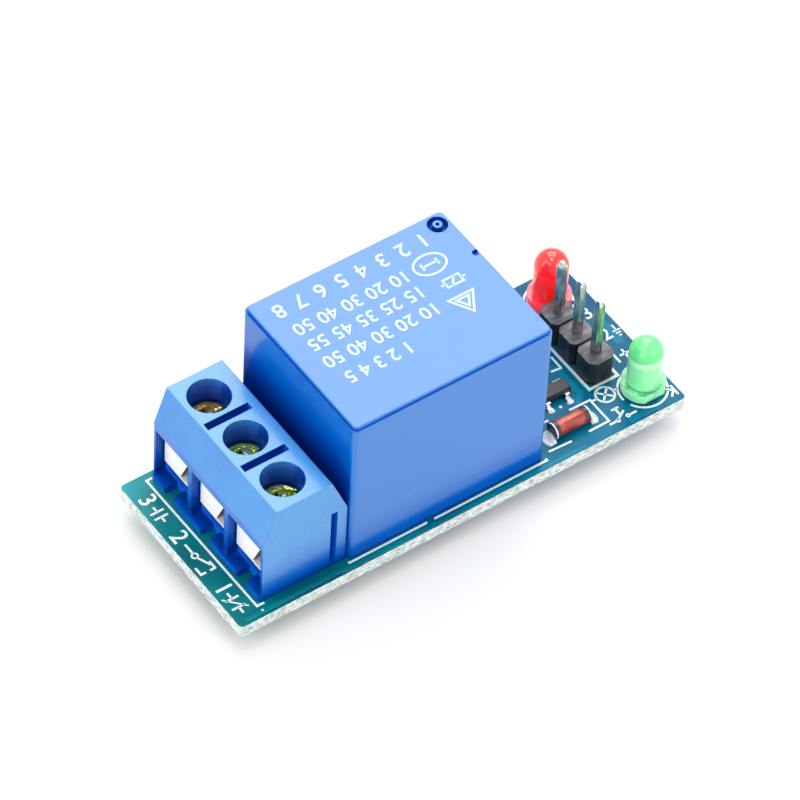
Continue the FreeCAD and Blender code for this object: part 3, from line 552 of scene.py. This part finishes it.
def resin(name, bands, glow):
    """Tinted lamp resin in bands of colour by height: milky low down and clearer in the dome, with
    a painted glow in its own tint.
    """
    finish = Finish(name)
    drift = finish.spread(finish.noise(1.4, 2.0), -0.012, 0.012)
    low = BOARD_TOP / MM
    height = finish.maths("ADD", finish.place(Z, low, low + LAMP_HEIGHT), drift)
    stops = [(share, linear(*colour)) for share, colour in bands]
    tint = finish.ramp(height, stops)
    finish.colour(tint)
    # Painted glow: the resin gives off light in its own tint, with the strength given by glow.
    finish.drive("Emission Color", tint)
    finish.drive("Transmission Weight", finish.spread(height, 0.0, 0.3, 0.55, 0.85))
    finish.roughness(finish.spread(finish.noise(0.8, 3.0), 0.12, 0.22))
    finish.set(IOR=1.52, Subsurface_Weight=1.0, Subsurface_Scale=0.0012, Emission_Strength=glow,
               Coat_Weight=0.8, Coat_Roughness=0.03, Specular_IOR_Level=0.35,
               Subsurface_Radius=(1.0, 0.6, 0.6))
    return finish


def diode_sleeve():
    """Tinted glass over the diode's copper-coated slugs, in streaks whose palest tone is a painted
    highlight.
    """
    finish = Finish("orange_glass")
    streak = finish.noise(1.0, 3.0, 0.5, (0.5, 1, 1))
    # The streaks run along the sleeve, and their palest tone is a painted highlight.
    finish.colour(finish.ramp(streak, [(0.34, linear(176, 40, 30)), (0.5, linear(214, 74, 52)),
                                       (0.64, linear(250, 140, 104))]))
    finish.roughness(finish.spread(streak, 0.06, 0.14))
    finish.set(IOR=1.5, Transmission_Weight=0.45)
    return finish


def diode_end():
    """A cap painted dark navy as a painted reflection, with a painted highlight on its edge outside
    the glass, and a copper-red slug inside it.
    """
    finish = Finish("diode_cap")
    cloud = finish.noise(0.5, 3.0)
    # Painted dark reflection on the cap, and a painted highlight on the band at its outer edge.
    painted_dark = finish.ramp(cloud, [(0.3, linear(26, 30, 50)), (0.7, linear(70, 66, 86))])
    rim = finish.ramp(cloud, [(0.3, linear(236, 214, 214)), (0.7, linear(255, 250, 248))])
    slug = finish.ramp(cloud, [(0.3, linear(176, 44, 24)), (0.7, linear(232, 92, 58))])
    outside = finish.apart(X, DIODE_MIDDLE, DIODE_CAP_START, DIODE_CAP_START + 0.02)
    edge = finish.apart(X, DIODE_MIDDLE, DIODE_RIM_START, DIODE_RIM_START + 0.04)
    end_face = finish.maths("ABSOLUTE", finish.normal_part(X))
    facing = finish.maths("LESS_THAN", end_face, 0.7)
    edge = finish.maths("MULTIPLY", edge, facing)
    finish.colour(finish.mix(outside, slug, finish.mix(edge, painted_dark, rim)))
    finish.roughness(finish.spread(cloud, 0.4, 0.26))
    finish.bump(cloud, 0.02, 0.4, 0.08)
    finish.set(Metallic=0.2)
    return finish


def print_ink(name, colour, thin):
    """White print with slightly uneven cover."""
    finish = Finish(name)
    cover = finish.noise(0.14, 4.0, 0.6)
    finish.colour(finish.ramp(cover, [(0.3, linear(*thin)), (0.5, linear(*colour))]))
    finish.roughness(finish.spread(cover, 0.65, 0.5))
    finish.bump(cover, 0.006, 0.4)
    return finish


def paint_nodes(solder):
    """Give every CAD node its finish."""
    # Each blue's colours: painted light in narrow slots, painted shade in hollows, a middle tone,
    # and painted light on open faces.
    relay_blue = glossy_blue("relay_blue", (0, 74, 170), (0, 62, 160), (0, 90, 190),
                             (8, 114, 200), 0.18, 0.002)
    terminal_blue = glossy_blue("terminal_blue", (20, 112, 236), (0, 44, 132), (0, 88, 192),
                                (62, 146, 214), 0.26, 0.0012)
    base_grey = moulded_plastic("base_grey", (60, 64, 72), (44, 47, 54), 0.55)
    black = header_plastic()
    body_black = moulded_plastic("transistor_black", (40, 40, 44), (24, 24, 28), 0.45, 0.1, 0.008)
    bobbin = moulded_plastic("bobbin_cream", (222, 216, 196), (205, 198, 178), 0.5)
    ceramic = moulded_plastic("resistor_black", (34, 34, 38), (18, 18, 22), 0.35, 0.1, 0.004)
    chip = moulded_plastic("silicon_grey", (70, 72, 80), (50, 52, 60), 0.2, 0.1, 0.002)
    tin = metal("bright_tin", (226, 228, 230), (176, 178, 182), 0.2)
    pin_metal = metal("pin_tin", (246, 246, 240), (96, 96, 92), 0.14, (2.5, 2.5, 0.25))
    steel = guard_leaf()
    brass = contact_strip()
    iron = metal("plated_iron", (186, 184, 178), (140, 138, 132), 0.32)
    copper = metal("copper_leaf", (222, 150, 104), (178, 108, 70), 0.26)
    winding = metal("enamelled_wire", (190, 92, 48), (120, 48, 22), 0.3, (1, 1, 30), 0.4)
    silver = metal("contact_silver", (236, 234, 226), (196, 194, 186), 0.2)
    cap_metal = diode_end()
    # The last number is the strength of the resin's painted glow.
    red = resin("red_resin", RED_BANDS, 0.42)
    green = resin("green_resin", GREEN_BANDS, 0.22)
    orange_glass = diode_sleeve()
    screws = [zinc(*plate) for plate in ZINC_PLATES]
    finishes = {"circuit_board": solder_mask("mask"), "solder_joints": solder,
                "surface_solder": solder, "terminal_housing": terminal_blue,
                "relay_cover": relay_blue, "relay_base": base_grey,
                "relay_yoke": iron, "relay_core": iron, "relay_armature": iron,
                "relay_bobbin": bobbin, "relay_coil": winding, "relay_coil_pin_1": tin,
                "relay_coil_pin_2": tin, "relay_common_pin": tin, "relay_contact_strip": copper,
                "relay_moving_contact": silver, "relay_closed_contact": tin,
                "relay_open_contact": tin, "header_housing": black, "red_lamp_lens": red,
                "green_lamp_lens": green, "diode_glass": orange_glass, "diode_chip": chip,
                "diode_anode": cap_metal, "diode_cathode": cap_metal,
                "transistor_body": body_black, "transistor_leads": tin}
    for lamp in ("red_lamp", "green_lamp"):
        finishes[lamp + "_anode"] = tin
        finishes[lamp + "_cathode"] = tin
    for number, screw in enumerate(screws, start=1):
        finishes["terminal_contact_%d" % number] = brass
        finishes["wire_guard_%d" % number] = steel
        finishes["terminal_screw_%d" % number] = screw
        finishes["header_pin_%d" % number] = pin_metal
        finishes["resistor_%d_body" % number] = ceramic
        finishes["resistor_%d_caps" % number] = tin
    for name, finish in finishes.items():
        dress(name, finish)
    unpainted = sorted(set(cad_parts) - set(finishes))
    assert not unpainted, unpainted


# Flat print: ribbons and numerals, gathered into one mesh each

class Print:
    """Thin raised ink on a level face, gathered from lines and numerals."""

    mitre_limit = 0.4
    arc_step = 7.5
    fewest_steps = 8

    def __init__(self, height, thickness, line):
        self.height = height
        self.thickness = thickness * MM
        self.line = line
        self.points = []
        self.faces = []

    def add(self, points, faces):
        start = len(self.points)
        self.points += points
        self.faces += [tuple(start + index for index in face) for face in faces]

    def path(self, points, line=None, closed=False):
        """A ribbon with mitred corners along points in millimetres."""
        half = (line or self.line) / 2
        spots = [Vector(point) for point in points]
        count = len(spots)
        left, right = [], []
        for index, spot in enumerate(spots):
            before = spots[index - 1] if index or closed else None
            after = spots[(index + 1) % count] if index + 1 < count or closed else None
            ways = []
            if before is not None:
                ways.append((spot - before).normalized())
            if after is not None:
                ways.append((after - spot).normalized())
            way = sum(ways, Vector((0, 0))).normalized()
            across = Vector((-way.y, way.x))
            stretch = half / max(self.mitre_limit, abs(way.dot(ways[0])))
            left.append(spot + across * stretch)
            right.append(spot - across * stretch)
        low = [(p.x * MM, p.y * MM, self.height) for p in left + right]
        high = [(x, y, z + self.thickness) for x, y, z in low]
        up = 2 * count
        faces = []
        for i in range(count if closed else count - 1):
            j = (i + 1) % count
            a, b, c, d = i, j, count + j, count + i
            faces += [(a, b, c, d), (up + d, up + c, up + b, up + a), (b, a, up + a, up + b),
                      (d, c, up + c, up + d)]
        if not closed:
            for a, b in ((0, count), (up - 1, count - 1)):
                faces.append((a, b, up + b, up + a))
        self.add(low + high, faces)

    def ring(self, x, y, radius, start=0, end=360, line=None, squeeze=1.0):
        """A circle or an arc of ink."""
        whole = end - start >= 360
        steps = max(self.fewest_steps, int((end - start) / self.arc_step))
        turns = [math.radians(start + (end - start) * i / steps)
                 for i in range(steps if whole else steps + 1)]
        self.path([(x + radius * math.cos(t), y + radius * squeeze * math.sin(t)) for t in turns],
                  line, whole)

    def text(self, words, x, y, size, weight, turn=0, spacing=1.0):
        """Plain numerals, centred on a point and turned in the plane."""
        data = bpy.data.curves.new("numerals", "FONT")
        data.body = words
        data.size = size * MM
        data.space_character = spacing
        data.align_x = "CENTER"
        data.align_y = "CENTER"
        data.extrude = self.thickness / 2
        data.offset = weight * size * MM
        data.resolution_u = 4
        lettering = bpy.data.objects.new("numerals", data)
        bpy.context.scene.collection.objects.link(lettering)
        bpy.context.view_layer.update()
        ready = lettering.evaluated_get(bpy.context.evaluated_depsgraph_get())
        mesh = bpy.data.meshes.new_from_object(ready)
        place = (Matrix.Translation((x * MM, y * MM, self.height + self.thickness / 2))
                 @ Matrix.Rotation(math.radians(turn), 4, "Z"))
        self.add([tuple(place @ vertex.co) for vertex in mesh.vertices],
                 [tuple(face.vertices) for face in mesh.polygons])
        bpy.data.objects.remove(lettering)
        bpy.data.curves.remove(data)
        bpy.data.meshes.remove(mesh)

    def piece(self, name, finish, slot):
        add_piece(name, self.points, self.faces, finish)


def add_piece(name, points, faces, finish, smooth=False):
    """A mesh piece that rides on the board."""
    mesh = bpy.data.meshes.new(name)
    mesh.from_pydata(points, [], faces)
    mesh.validate()
    mesh.update()
    mesh.materials.append(finish.material)
    if smooth:
        mesh.shade_smooth()
    piece = bpy.data.objects.new(name, mesh)
    bpy.context.scene.collection.objects.link(piece)
    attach(piece, "board")
    return piece


# Copper under the mask, and solder

def lay_tracks(mask):
    """Raised copper runs under the mask, on both faces of the board."""
    lay_top_tracks(mask)
    lay_low_tracks(mask)


def lay_top_tracks(mask):
    thickness = 0.012
    top = Print(BOARD_TOP, thickness, 0.5)
    ground_x = 20.75
    top.path([(ground_x, -1.0), (ground_x, 1.7)], line=0.9)
    top.path([(14.75, -0.2), (14.75, -3.6), (13.9, -4.3)], line=0.55)
    top.path([(16.4, -8.1), (19.3, -8.1), (20.9, -6.6), (20.9, -3.6)])
    pad_reach = 1.8
    pads_x = RESISTORS[0].x + pad_reach
    far, between, near = (resistor.y for resistor in RESISTORS)
    top.path([(pads_x, near), (14.6, near), (16.0, HEADER_PINS[2].y)])
    top.path([(pads_x, between), (14.4, between), (15.4, 4.9), (16.7, 4.9)])
    top.path([(pads_x, far), (16.3, far)])
    top.path([(-20.9, -8.1), (-12.0, -8.1), (-11.2, -8.3), (12.0, -8.3)], line=0.34)
    top.piece("top_tracks", mask, "laminate")


def lay_low_tracks(mask):
    thickness = 0.03
    low = Print(BOARD_BOTTOM - thickness * MM, thickness, 1.0)
    for number in (1, 3):
        y = middle_of("terminal_contact_%d" % number).y
        side = 1 if y > 0 else -1
        low.path([(-14.3, y), (-11.6, y), (-8.4, side * 6.1)], line=2.0)
    low.path([(-14.3, middle_of("terminal_contact_2").y), (5.6, 0.1)], line=2.4)
    far, near = (middle_of("relay_coil_pin_%d" % number).y for number in (1, 2))
    low.path([(3.8, far), (8.6, far), (10.3, 7.2), (16.2, 7.2), (18.4, 7.1)])
    low.path([(3.8, near), (8.0, near), (9.6, -4.6), (13.2, -4.6)])
    pins = [pin.xy for pin in HEADER_PINS]
    low.path([pins[0], (19.3, -4.6)])
    low.path([pins[1], (14.6, pins[1].y), (12.4, -1.4)])
    low.path([pins[2], (18.45, 4.5)])
    low.piece("low_tracks", mask, "laminate")


def islands(node_name):
    """The separate lumps of a CAD node, each as a list of its corners.

    Corners that agree to seven decimals of a metre are taken as one."""
    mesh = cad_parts[node_name].data
    owner = list(range(len(mesh.vertices)))
    digits = 7

    def root(index):
        while owner[index] != index:
            owner[index] = owner[owner[index]]
            index = owner[index]
        return index

    places = {}
    for vertex in mesh.vertices:
        key = tuple(round(value, digits) for value in vertex.co)
        owner[vertex.index] = root(places.setdefault(key, vertex.index))
    for edge in mesh.edges:
        owner[root(edge.vertices[0])] = root(edge.vertices[1])
    groups = {}
    for vertex in mesh.vertices:
        groups.setdefault(root(vertex.index), []).append(vertex.co.copy())
    return list(groups.values())


def extent(points, axis):
    """The lowest and highest place of some points along an axis."""
    values = [point[axis] for point in points]
    return min(values), max(values)


def solder_fillets(solder):
    """Hollow-sided solder round each lead under the board, in place of the plain cones."""
    sides, steps = 28, 7
    hollow = 2.6
    points, faces = [], []
    for lump in islands("solder_joints"):
        low, high = extent(lump, Z)
        left, right = extent(lump, X)
        near, far = extent(lump, Y)
        tip = [point for point in lump if point.z < low + 0.02 * MM]
        tip_left, tip_right = extent(tip, X)
        wide, narrow = (right - left) / 2, (tip_right - tip_left) / 2
        start = len(points)
        for step in range(steps + 1):
            share = step / steps
            radius = narrow + (wide - narrow) * share ** hollow
            z = low + (high - low) * share
            points += [((left + right) / 2 + radius * math.cos(2 * math.pi * i / sides),
                        (near + far) / 2 + radius * math.sin(2 * math.pi * i / sides), z)
                       for i in range(sides)]
        for step in range(steps):
            for i in range(sides):
                j = (i + 1) % sides
                row = start + step * sides
                faces.append((row + i, row + j, row + sides + j, row + sides + i))
        faces.append(tuple(start + i for i in range(sides))[::-1])
        faces.append(tuple(start + steps * sides + i for i in range(sides)))
    piece = add_piece("joint_solder", points, faces, solder, smooth=True)
    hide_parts("solder_joints")


def lie_of(lump):
    """How a wedge of solder lies: the axis that it falls away along, the places of its wall and
    foot there, its two sides, and its base and top."""
    span = [extent(lump, axis) for axis in (X, Y, Z)]
    crest = [point for point in lump if point.z > span[Z][1] - 0.04 * MM]
    lean = [sum(point[axis] for point in crest) / len(crest) - sum(span[axis]) / 2
            for axis in (X, Y)]
    out = X if abs(lean[X]) > abs(lean[Y]) else Y
    wall_and_foot = span[out] if lean[out] < 0 else span[out][::-1]
    return out, wall_and_foot, span[1 - out], span[Z]


def fillet_section(wall, foot, base, rise, taper, steps):
    """A section of a fillet: the wall's foot, then its hollow face from the crest down.

    A low taper, at the fillet's sides, lowers the crest and draws in the foot by less."""
    hollow = 1.7
    foot_draw = 0.4
    section = [(wall, base)]
    for step in range(steps + 1):
        away = step / steps
        section.append((wall + (foot - wall) * away * (1 - foot_draw + foot_draw * taper),
                        base + rise * taper * (1 - away) ** hollow))
    return section


def top_fillets(solder):
    """Hollow-faced solder beside each part that is soldered to the board's top face.

    The solder on the diode's left end fills only a share of the height of its solid."""
    across_steps, out_steps = 10, 6
    width = out_steps + 2
    diode_height = 1.0 * MM
    left_share = 0.45
    least_taper = 0.3
    points, faces = [], []
    for lump in islands("surface_solder"):
        out, (wall, foot), (side_low, side_high), (base, top) = lie_of(lump)
        rise = top - base
        if rise > diode_height and wall > foot:
            rise *= left_share
        start = len(points)
        for i in range(across_steps + 1):
            share = i / across_steps
            side = side_low + (side_high - side_low) * share
            taper = max(least_taper, 1 - abs(2 * share - 1) ** 3)
            for along, z in fillet_section(wall, foot, base, rise, taper, out_steps):
                points.append((along, side, z) if out == X else (side, along, z))
        for i in range(across_steps):
            a, b = start + i * width, start + (i + 1) * width
            for j in range(width):
                k = (j + 1) % width
                faces.append((a + j, a + k, b + k, b + j))
        for row in (start, start + across_steps * width):
            faces.append(tuple(range(row, row + width)))
    piece = add_piece("top_solder", points, faces, solder, smooth=True)
    turn_outwards(piece.data)
    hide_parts("surface_solder")


def turn_outwards(mesh):
    """Let each face of a mesh look outwards."""
    turned = bmesh.new()
    turned.from_mesh(mesh)
    bmesh.ops.recalc_face_normals(turned, faces=turned.faces)
    turned.to_mesh(mesh)
    turned.free()


# Print on the board

def print_board(ink):
    """The white outlines and plain numbers on the board's top face."""
    sheet = Print(BOARD_TOP, INK_THICKNESS, BOARD_LINE)
    terminal_outline(sheet)
    relay_outline(sheet)
    header_outline(sheet)
    lamp_outlines(sheet)
    diode_outline(sheet)
    small_marks(sheet)
    sheet.piece("board_print", ink, "laminate")


def terminal_outline(sheet):
    """The outline round the terminal's front, and the number and sign of each way before it."""
    sheet.path([(-18.75, -7.46), (-19.42, -7.46), (-19.58, 7.92), (-19.05, 7.92)])
    sheet.ring(-19.28, -8.0, 0.05, line=0.1)
    x = -20.66
    for words, y in (("3", 6.2), ("2", 1.7), ("1", -4.55)):
        sheet.text(words, x, y, 2.1, BOARD_WEIGHT, turn=-90)
    open_contact(sheet, x, 5.35, 3.6)
    changeover(sheet, x, 0.8, -2.35)
    closed_contact(sheet, x, -5.1, -7.4)


def open_contact(sheet, x, start, end, gap=0.6):
    """The sign for a contact that is open at rest: two bars that don't touch, each on a lead."""
    middle = (start + end) / 2
    for side, tip in ((1, start), (-1, end)):
        bar = middle + side * gap / 2
        sheet.path([(x - 0.62, bar), (x + 0.62, bar)])
        sheet.path([(x, bar), (x, tip)])


def closed_contact(sheet, x, start, end):
    """The sign for a contact that is closed at rest: the two bars with a stroke across them."""
    open_contact(sheet, x, start, end, 0.96)
    middle = (start + end) / 2
    sheet.path([(x - 0.74, middle + 0.8), (x + 0.74, middle - 0.8)], line=0.13)


def changeover(sheet, x, start, end):
    """The sign for the common lead of a changeover contact: a blade between two leads."""
    middle = (start + end) / 2
    sheet.path([(x, start), (x, middle + 0.45)])
    sheet.ring(x, middle + 0.2, 0.25, line=0.16)
    sheet.path([(x + 0.05, middle - 0.05), (x + 0.55, end + 0.35)])
    for side in (-1, 1):
        sheet.path([(x + side * 0.66, end + 0.7), (x + side * 0.66, end - 0.1),
                    (x + side * 0.2, end - 0.1)])


def relay_outline(sheet):
    """The outline that shows round the relay's cover."""
    low, high = (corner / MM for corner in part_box("relay_cover"))
    x0, x1 = low.x - 0.07, high.x + 0.16
    y0, y1 = low.y - 0.25, high.y + 0.25
    sheet.path([(x0, y0 + 0.14), (x0, y0), (-3.4, y0)])
    sheet.path([(-2.7, y0), (x1, y0), (x1, y0 + 0.19)])
    sheet.path([(x0, y1 - 0.11), (x0, y1), (x1, y1), (x1, -0.6)])


def header_outline(sheet):
    """The frame round the header, and the number and sign of each pin beside it."""
    low, high = (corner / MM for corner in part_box("header_housing"))
    x0, x1 = low.x - 0.18, high.x + 0.13
    y0, y1 = low.y - 0.12, high.y + 0.14
    sheet.path([(x0, y0), (x1, y0), (x1, y1), (x0, y1)], line=0.26, closed=True)
    for number, x, y in ((1, 19.45, -2.15), (2, 20.25, 0.35), (3, 20.3, 3.05)):
        sheet.text(str(number), x, y, 1.8, BOARD_WEIGHT)
    plus_mark(sheet, 20.35, -2.1)
    earth_mark(sheet, 21.25, 0.6)
    sheet.path([(19.0, 3.05), (19.75, 3.05)])


def plus_mark(sheet, x, y):
    sheet.path([(x - 0.5, y), (x + 0.5, y)])
    sheet.path([(x, y - 0.5), (x, y + 0.5)])


def earth_mark(sheet, x, y):
    """The sign for ground: a lead over three bars that get shorter."""
    for step, half in enumerate((0.36, 0.24, 0.12)):
        bar = y - 0.3 - step * 0.3
        sheet.path([(x - half, bar), (x + half, bar)], line=FINE_LINE)
    sheet.path([(x, y - 0.3), (x, y + 0.35)], line=FINE_LINE)


def lamp_axis(node_name):
    """The axis of a lamp, whose round flange has its flat on the near side."""
    low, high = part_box(node_name)
    radius = (high.x - low.x) / 2
    return (low.x + radius) / MM, (high.y - radius) / MM


def lamp_outlines(sheet):
    """A ring with gaps round each lamp, and a bar with an arrow at the green one."""
    for node_name in ("green_lamp_lens", "red_lamp_lens"):
        x, y = lamp_axis(node_name)
        for start, end in ((205, 318), (-30, 40), (60, 185)):
            sheet.ring(x, y, 2.05, start, end)
    sheet.path([(21.35, -8.0), (21.35, -6.9)])
    sheet.path([(20.75, -7.95), (21.25, -7.45), (20.75, -6.95)])


def diode_outline(sheet):
    sheet.path([(12.94, -4.55), (14.98, -4.6), (14.96, -7.22), (12.94, -7.24)])
    sheet.path([(8.98, -7.2), (11.18, -7.3)])
    sheet.path([(9.0, -4.5), (10.9, -4.5)])


def small_marks(sheet):
    sheet.path([(14.12, -0.44), (15.05, -0.54), (15.07, 0.86)])
    sheet.path([(13.53, -1.46), (14.29, -1.46)])
    lamp_mark(sheet, 16.35, -4.8, 0.8)
    switch_mark(sheet, 16.1, -7.3)
    sheet.ring(12.56, -3.89, 0.07, line=FINE_LINE)
    for resistor in RESISTORS:
        for side in (-1, 1):
            x = resistor.x + side * 1.75
            inner = x - side * 0.55
            low, high = resistor.y - 0.95, resistor.y + 0.95
            sheet.path([(inner, high), (x, high), (x, low), (inner, low)])


def lamp_mark(sheet, x, y, radius):
    """A circle with a cross in it and a lead at each side."""
    sheet.ring(x, y, radius)
    arm = radius * 0.7
    sheet.path([(x - arm, y - arm), (x + arm, y + arm)])
    sheet.path([(x - arm, y + arm), (x + arm, y - arm)])
    for side in (-1, 1):
        sheet.path([(x + side * radius, y), (x + side * (radius + 0.45), y)])


def switch_mark(sheet, x, y):
    """An open switch between two leads, with a bar above its blade."""
    for side in (-1, 1):
        sheet.path([(x + side * 1.35, y - 0.3), (x + side * 0.65, y - 0.3)])
        sheet.ring(x + side * 0.5, y - 0.3, 0.14, line=FINE_LINE)
    sheet.path([(x - 0.5, y - 0.25), (x + 0.5, y + 0.35)])
    sheet.path([(x, y + 0.1), (x, y + 0.85)])
    sheet.path([(x - 0.35, y + 0.85), (x + 0.35, y + 0.85)])


# Print on the relay's lid: rows of numbers and a few plain signs

def print_relay(ink):
    sheet = Print(LID_TOP, INK_THICKNESS, LID_LINE)
    for y, size, words, x, spacing in LID_ROWS:
        sheet.text(words, x, y, size, LID_WEIGHT, turn=180, spacing=spacing)
    oval_mark(sheet, 3.96, 3.33)
    coil_mark(sheet, 4.5, 0.92)
    triangle_mark(sheet, 4.06, -1.27)
    sheet.piece("relay_print", ink, "relay_plastic")


def triangle_mark(sheet, x, y):
    """A triangle inside a triangle, pointing to the near side."""
    for share in (1.0, 0.5):
        sheet.path([(x - 1.15 * share, y + 0.62 * share), (x + 1.2 * share, y + 0.62 * share),
                    (x, y - 1.3 * share)], closed=True)


def oval_mark(sheet, x, y):
    """An oval with a bar across it."""
    sheet.ring(x, y, 1.45, squeeze=0.72)
    sheet.path([(x - 0.7, y), (x + 0.7, y)])
    for side in (-1, 1):
        sheet.path([(x + side * 0.7, y - 0.35), (x + side * 0.7, y + 0.35)])


def coil_mark(sheet, x, y):
    """The sign for a coil: a box with a slanted stroke and two leads."""
    sheet.path([(x - 0.75, y - 0.42), (x + 0.75, y - 0.42), (x + 0.75, y + 0.42),
                (x - 0.75, y + 0.42)], closed=True)
    sheet.path([(x - 0.3, y - 0.42), (x + 0.3, y + 0.42)])
    for side in (-1, 1):
        sheet.path([(x + side * 0.75, y), (x + side * 1.15, y)])


def main():
    set_scene()
    solder = metal("bright_solder", (246, 248, 248), (206, 210, 212), 0.42, (1, 1, 1), share=0.15)
    paint_nodes(solder)
    solder_fillets(solder)
    top_fillets(solder)
    lay_tracks(solder_mask("track_mask", 20))
    print_board(print_ink("board_ink", (244, 250, 250), (190, 216, 220)))
    print_relay(print_ink("lid_ink", (206, 232, 246), (164, 204, 240)))


main()
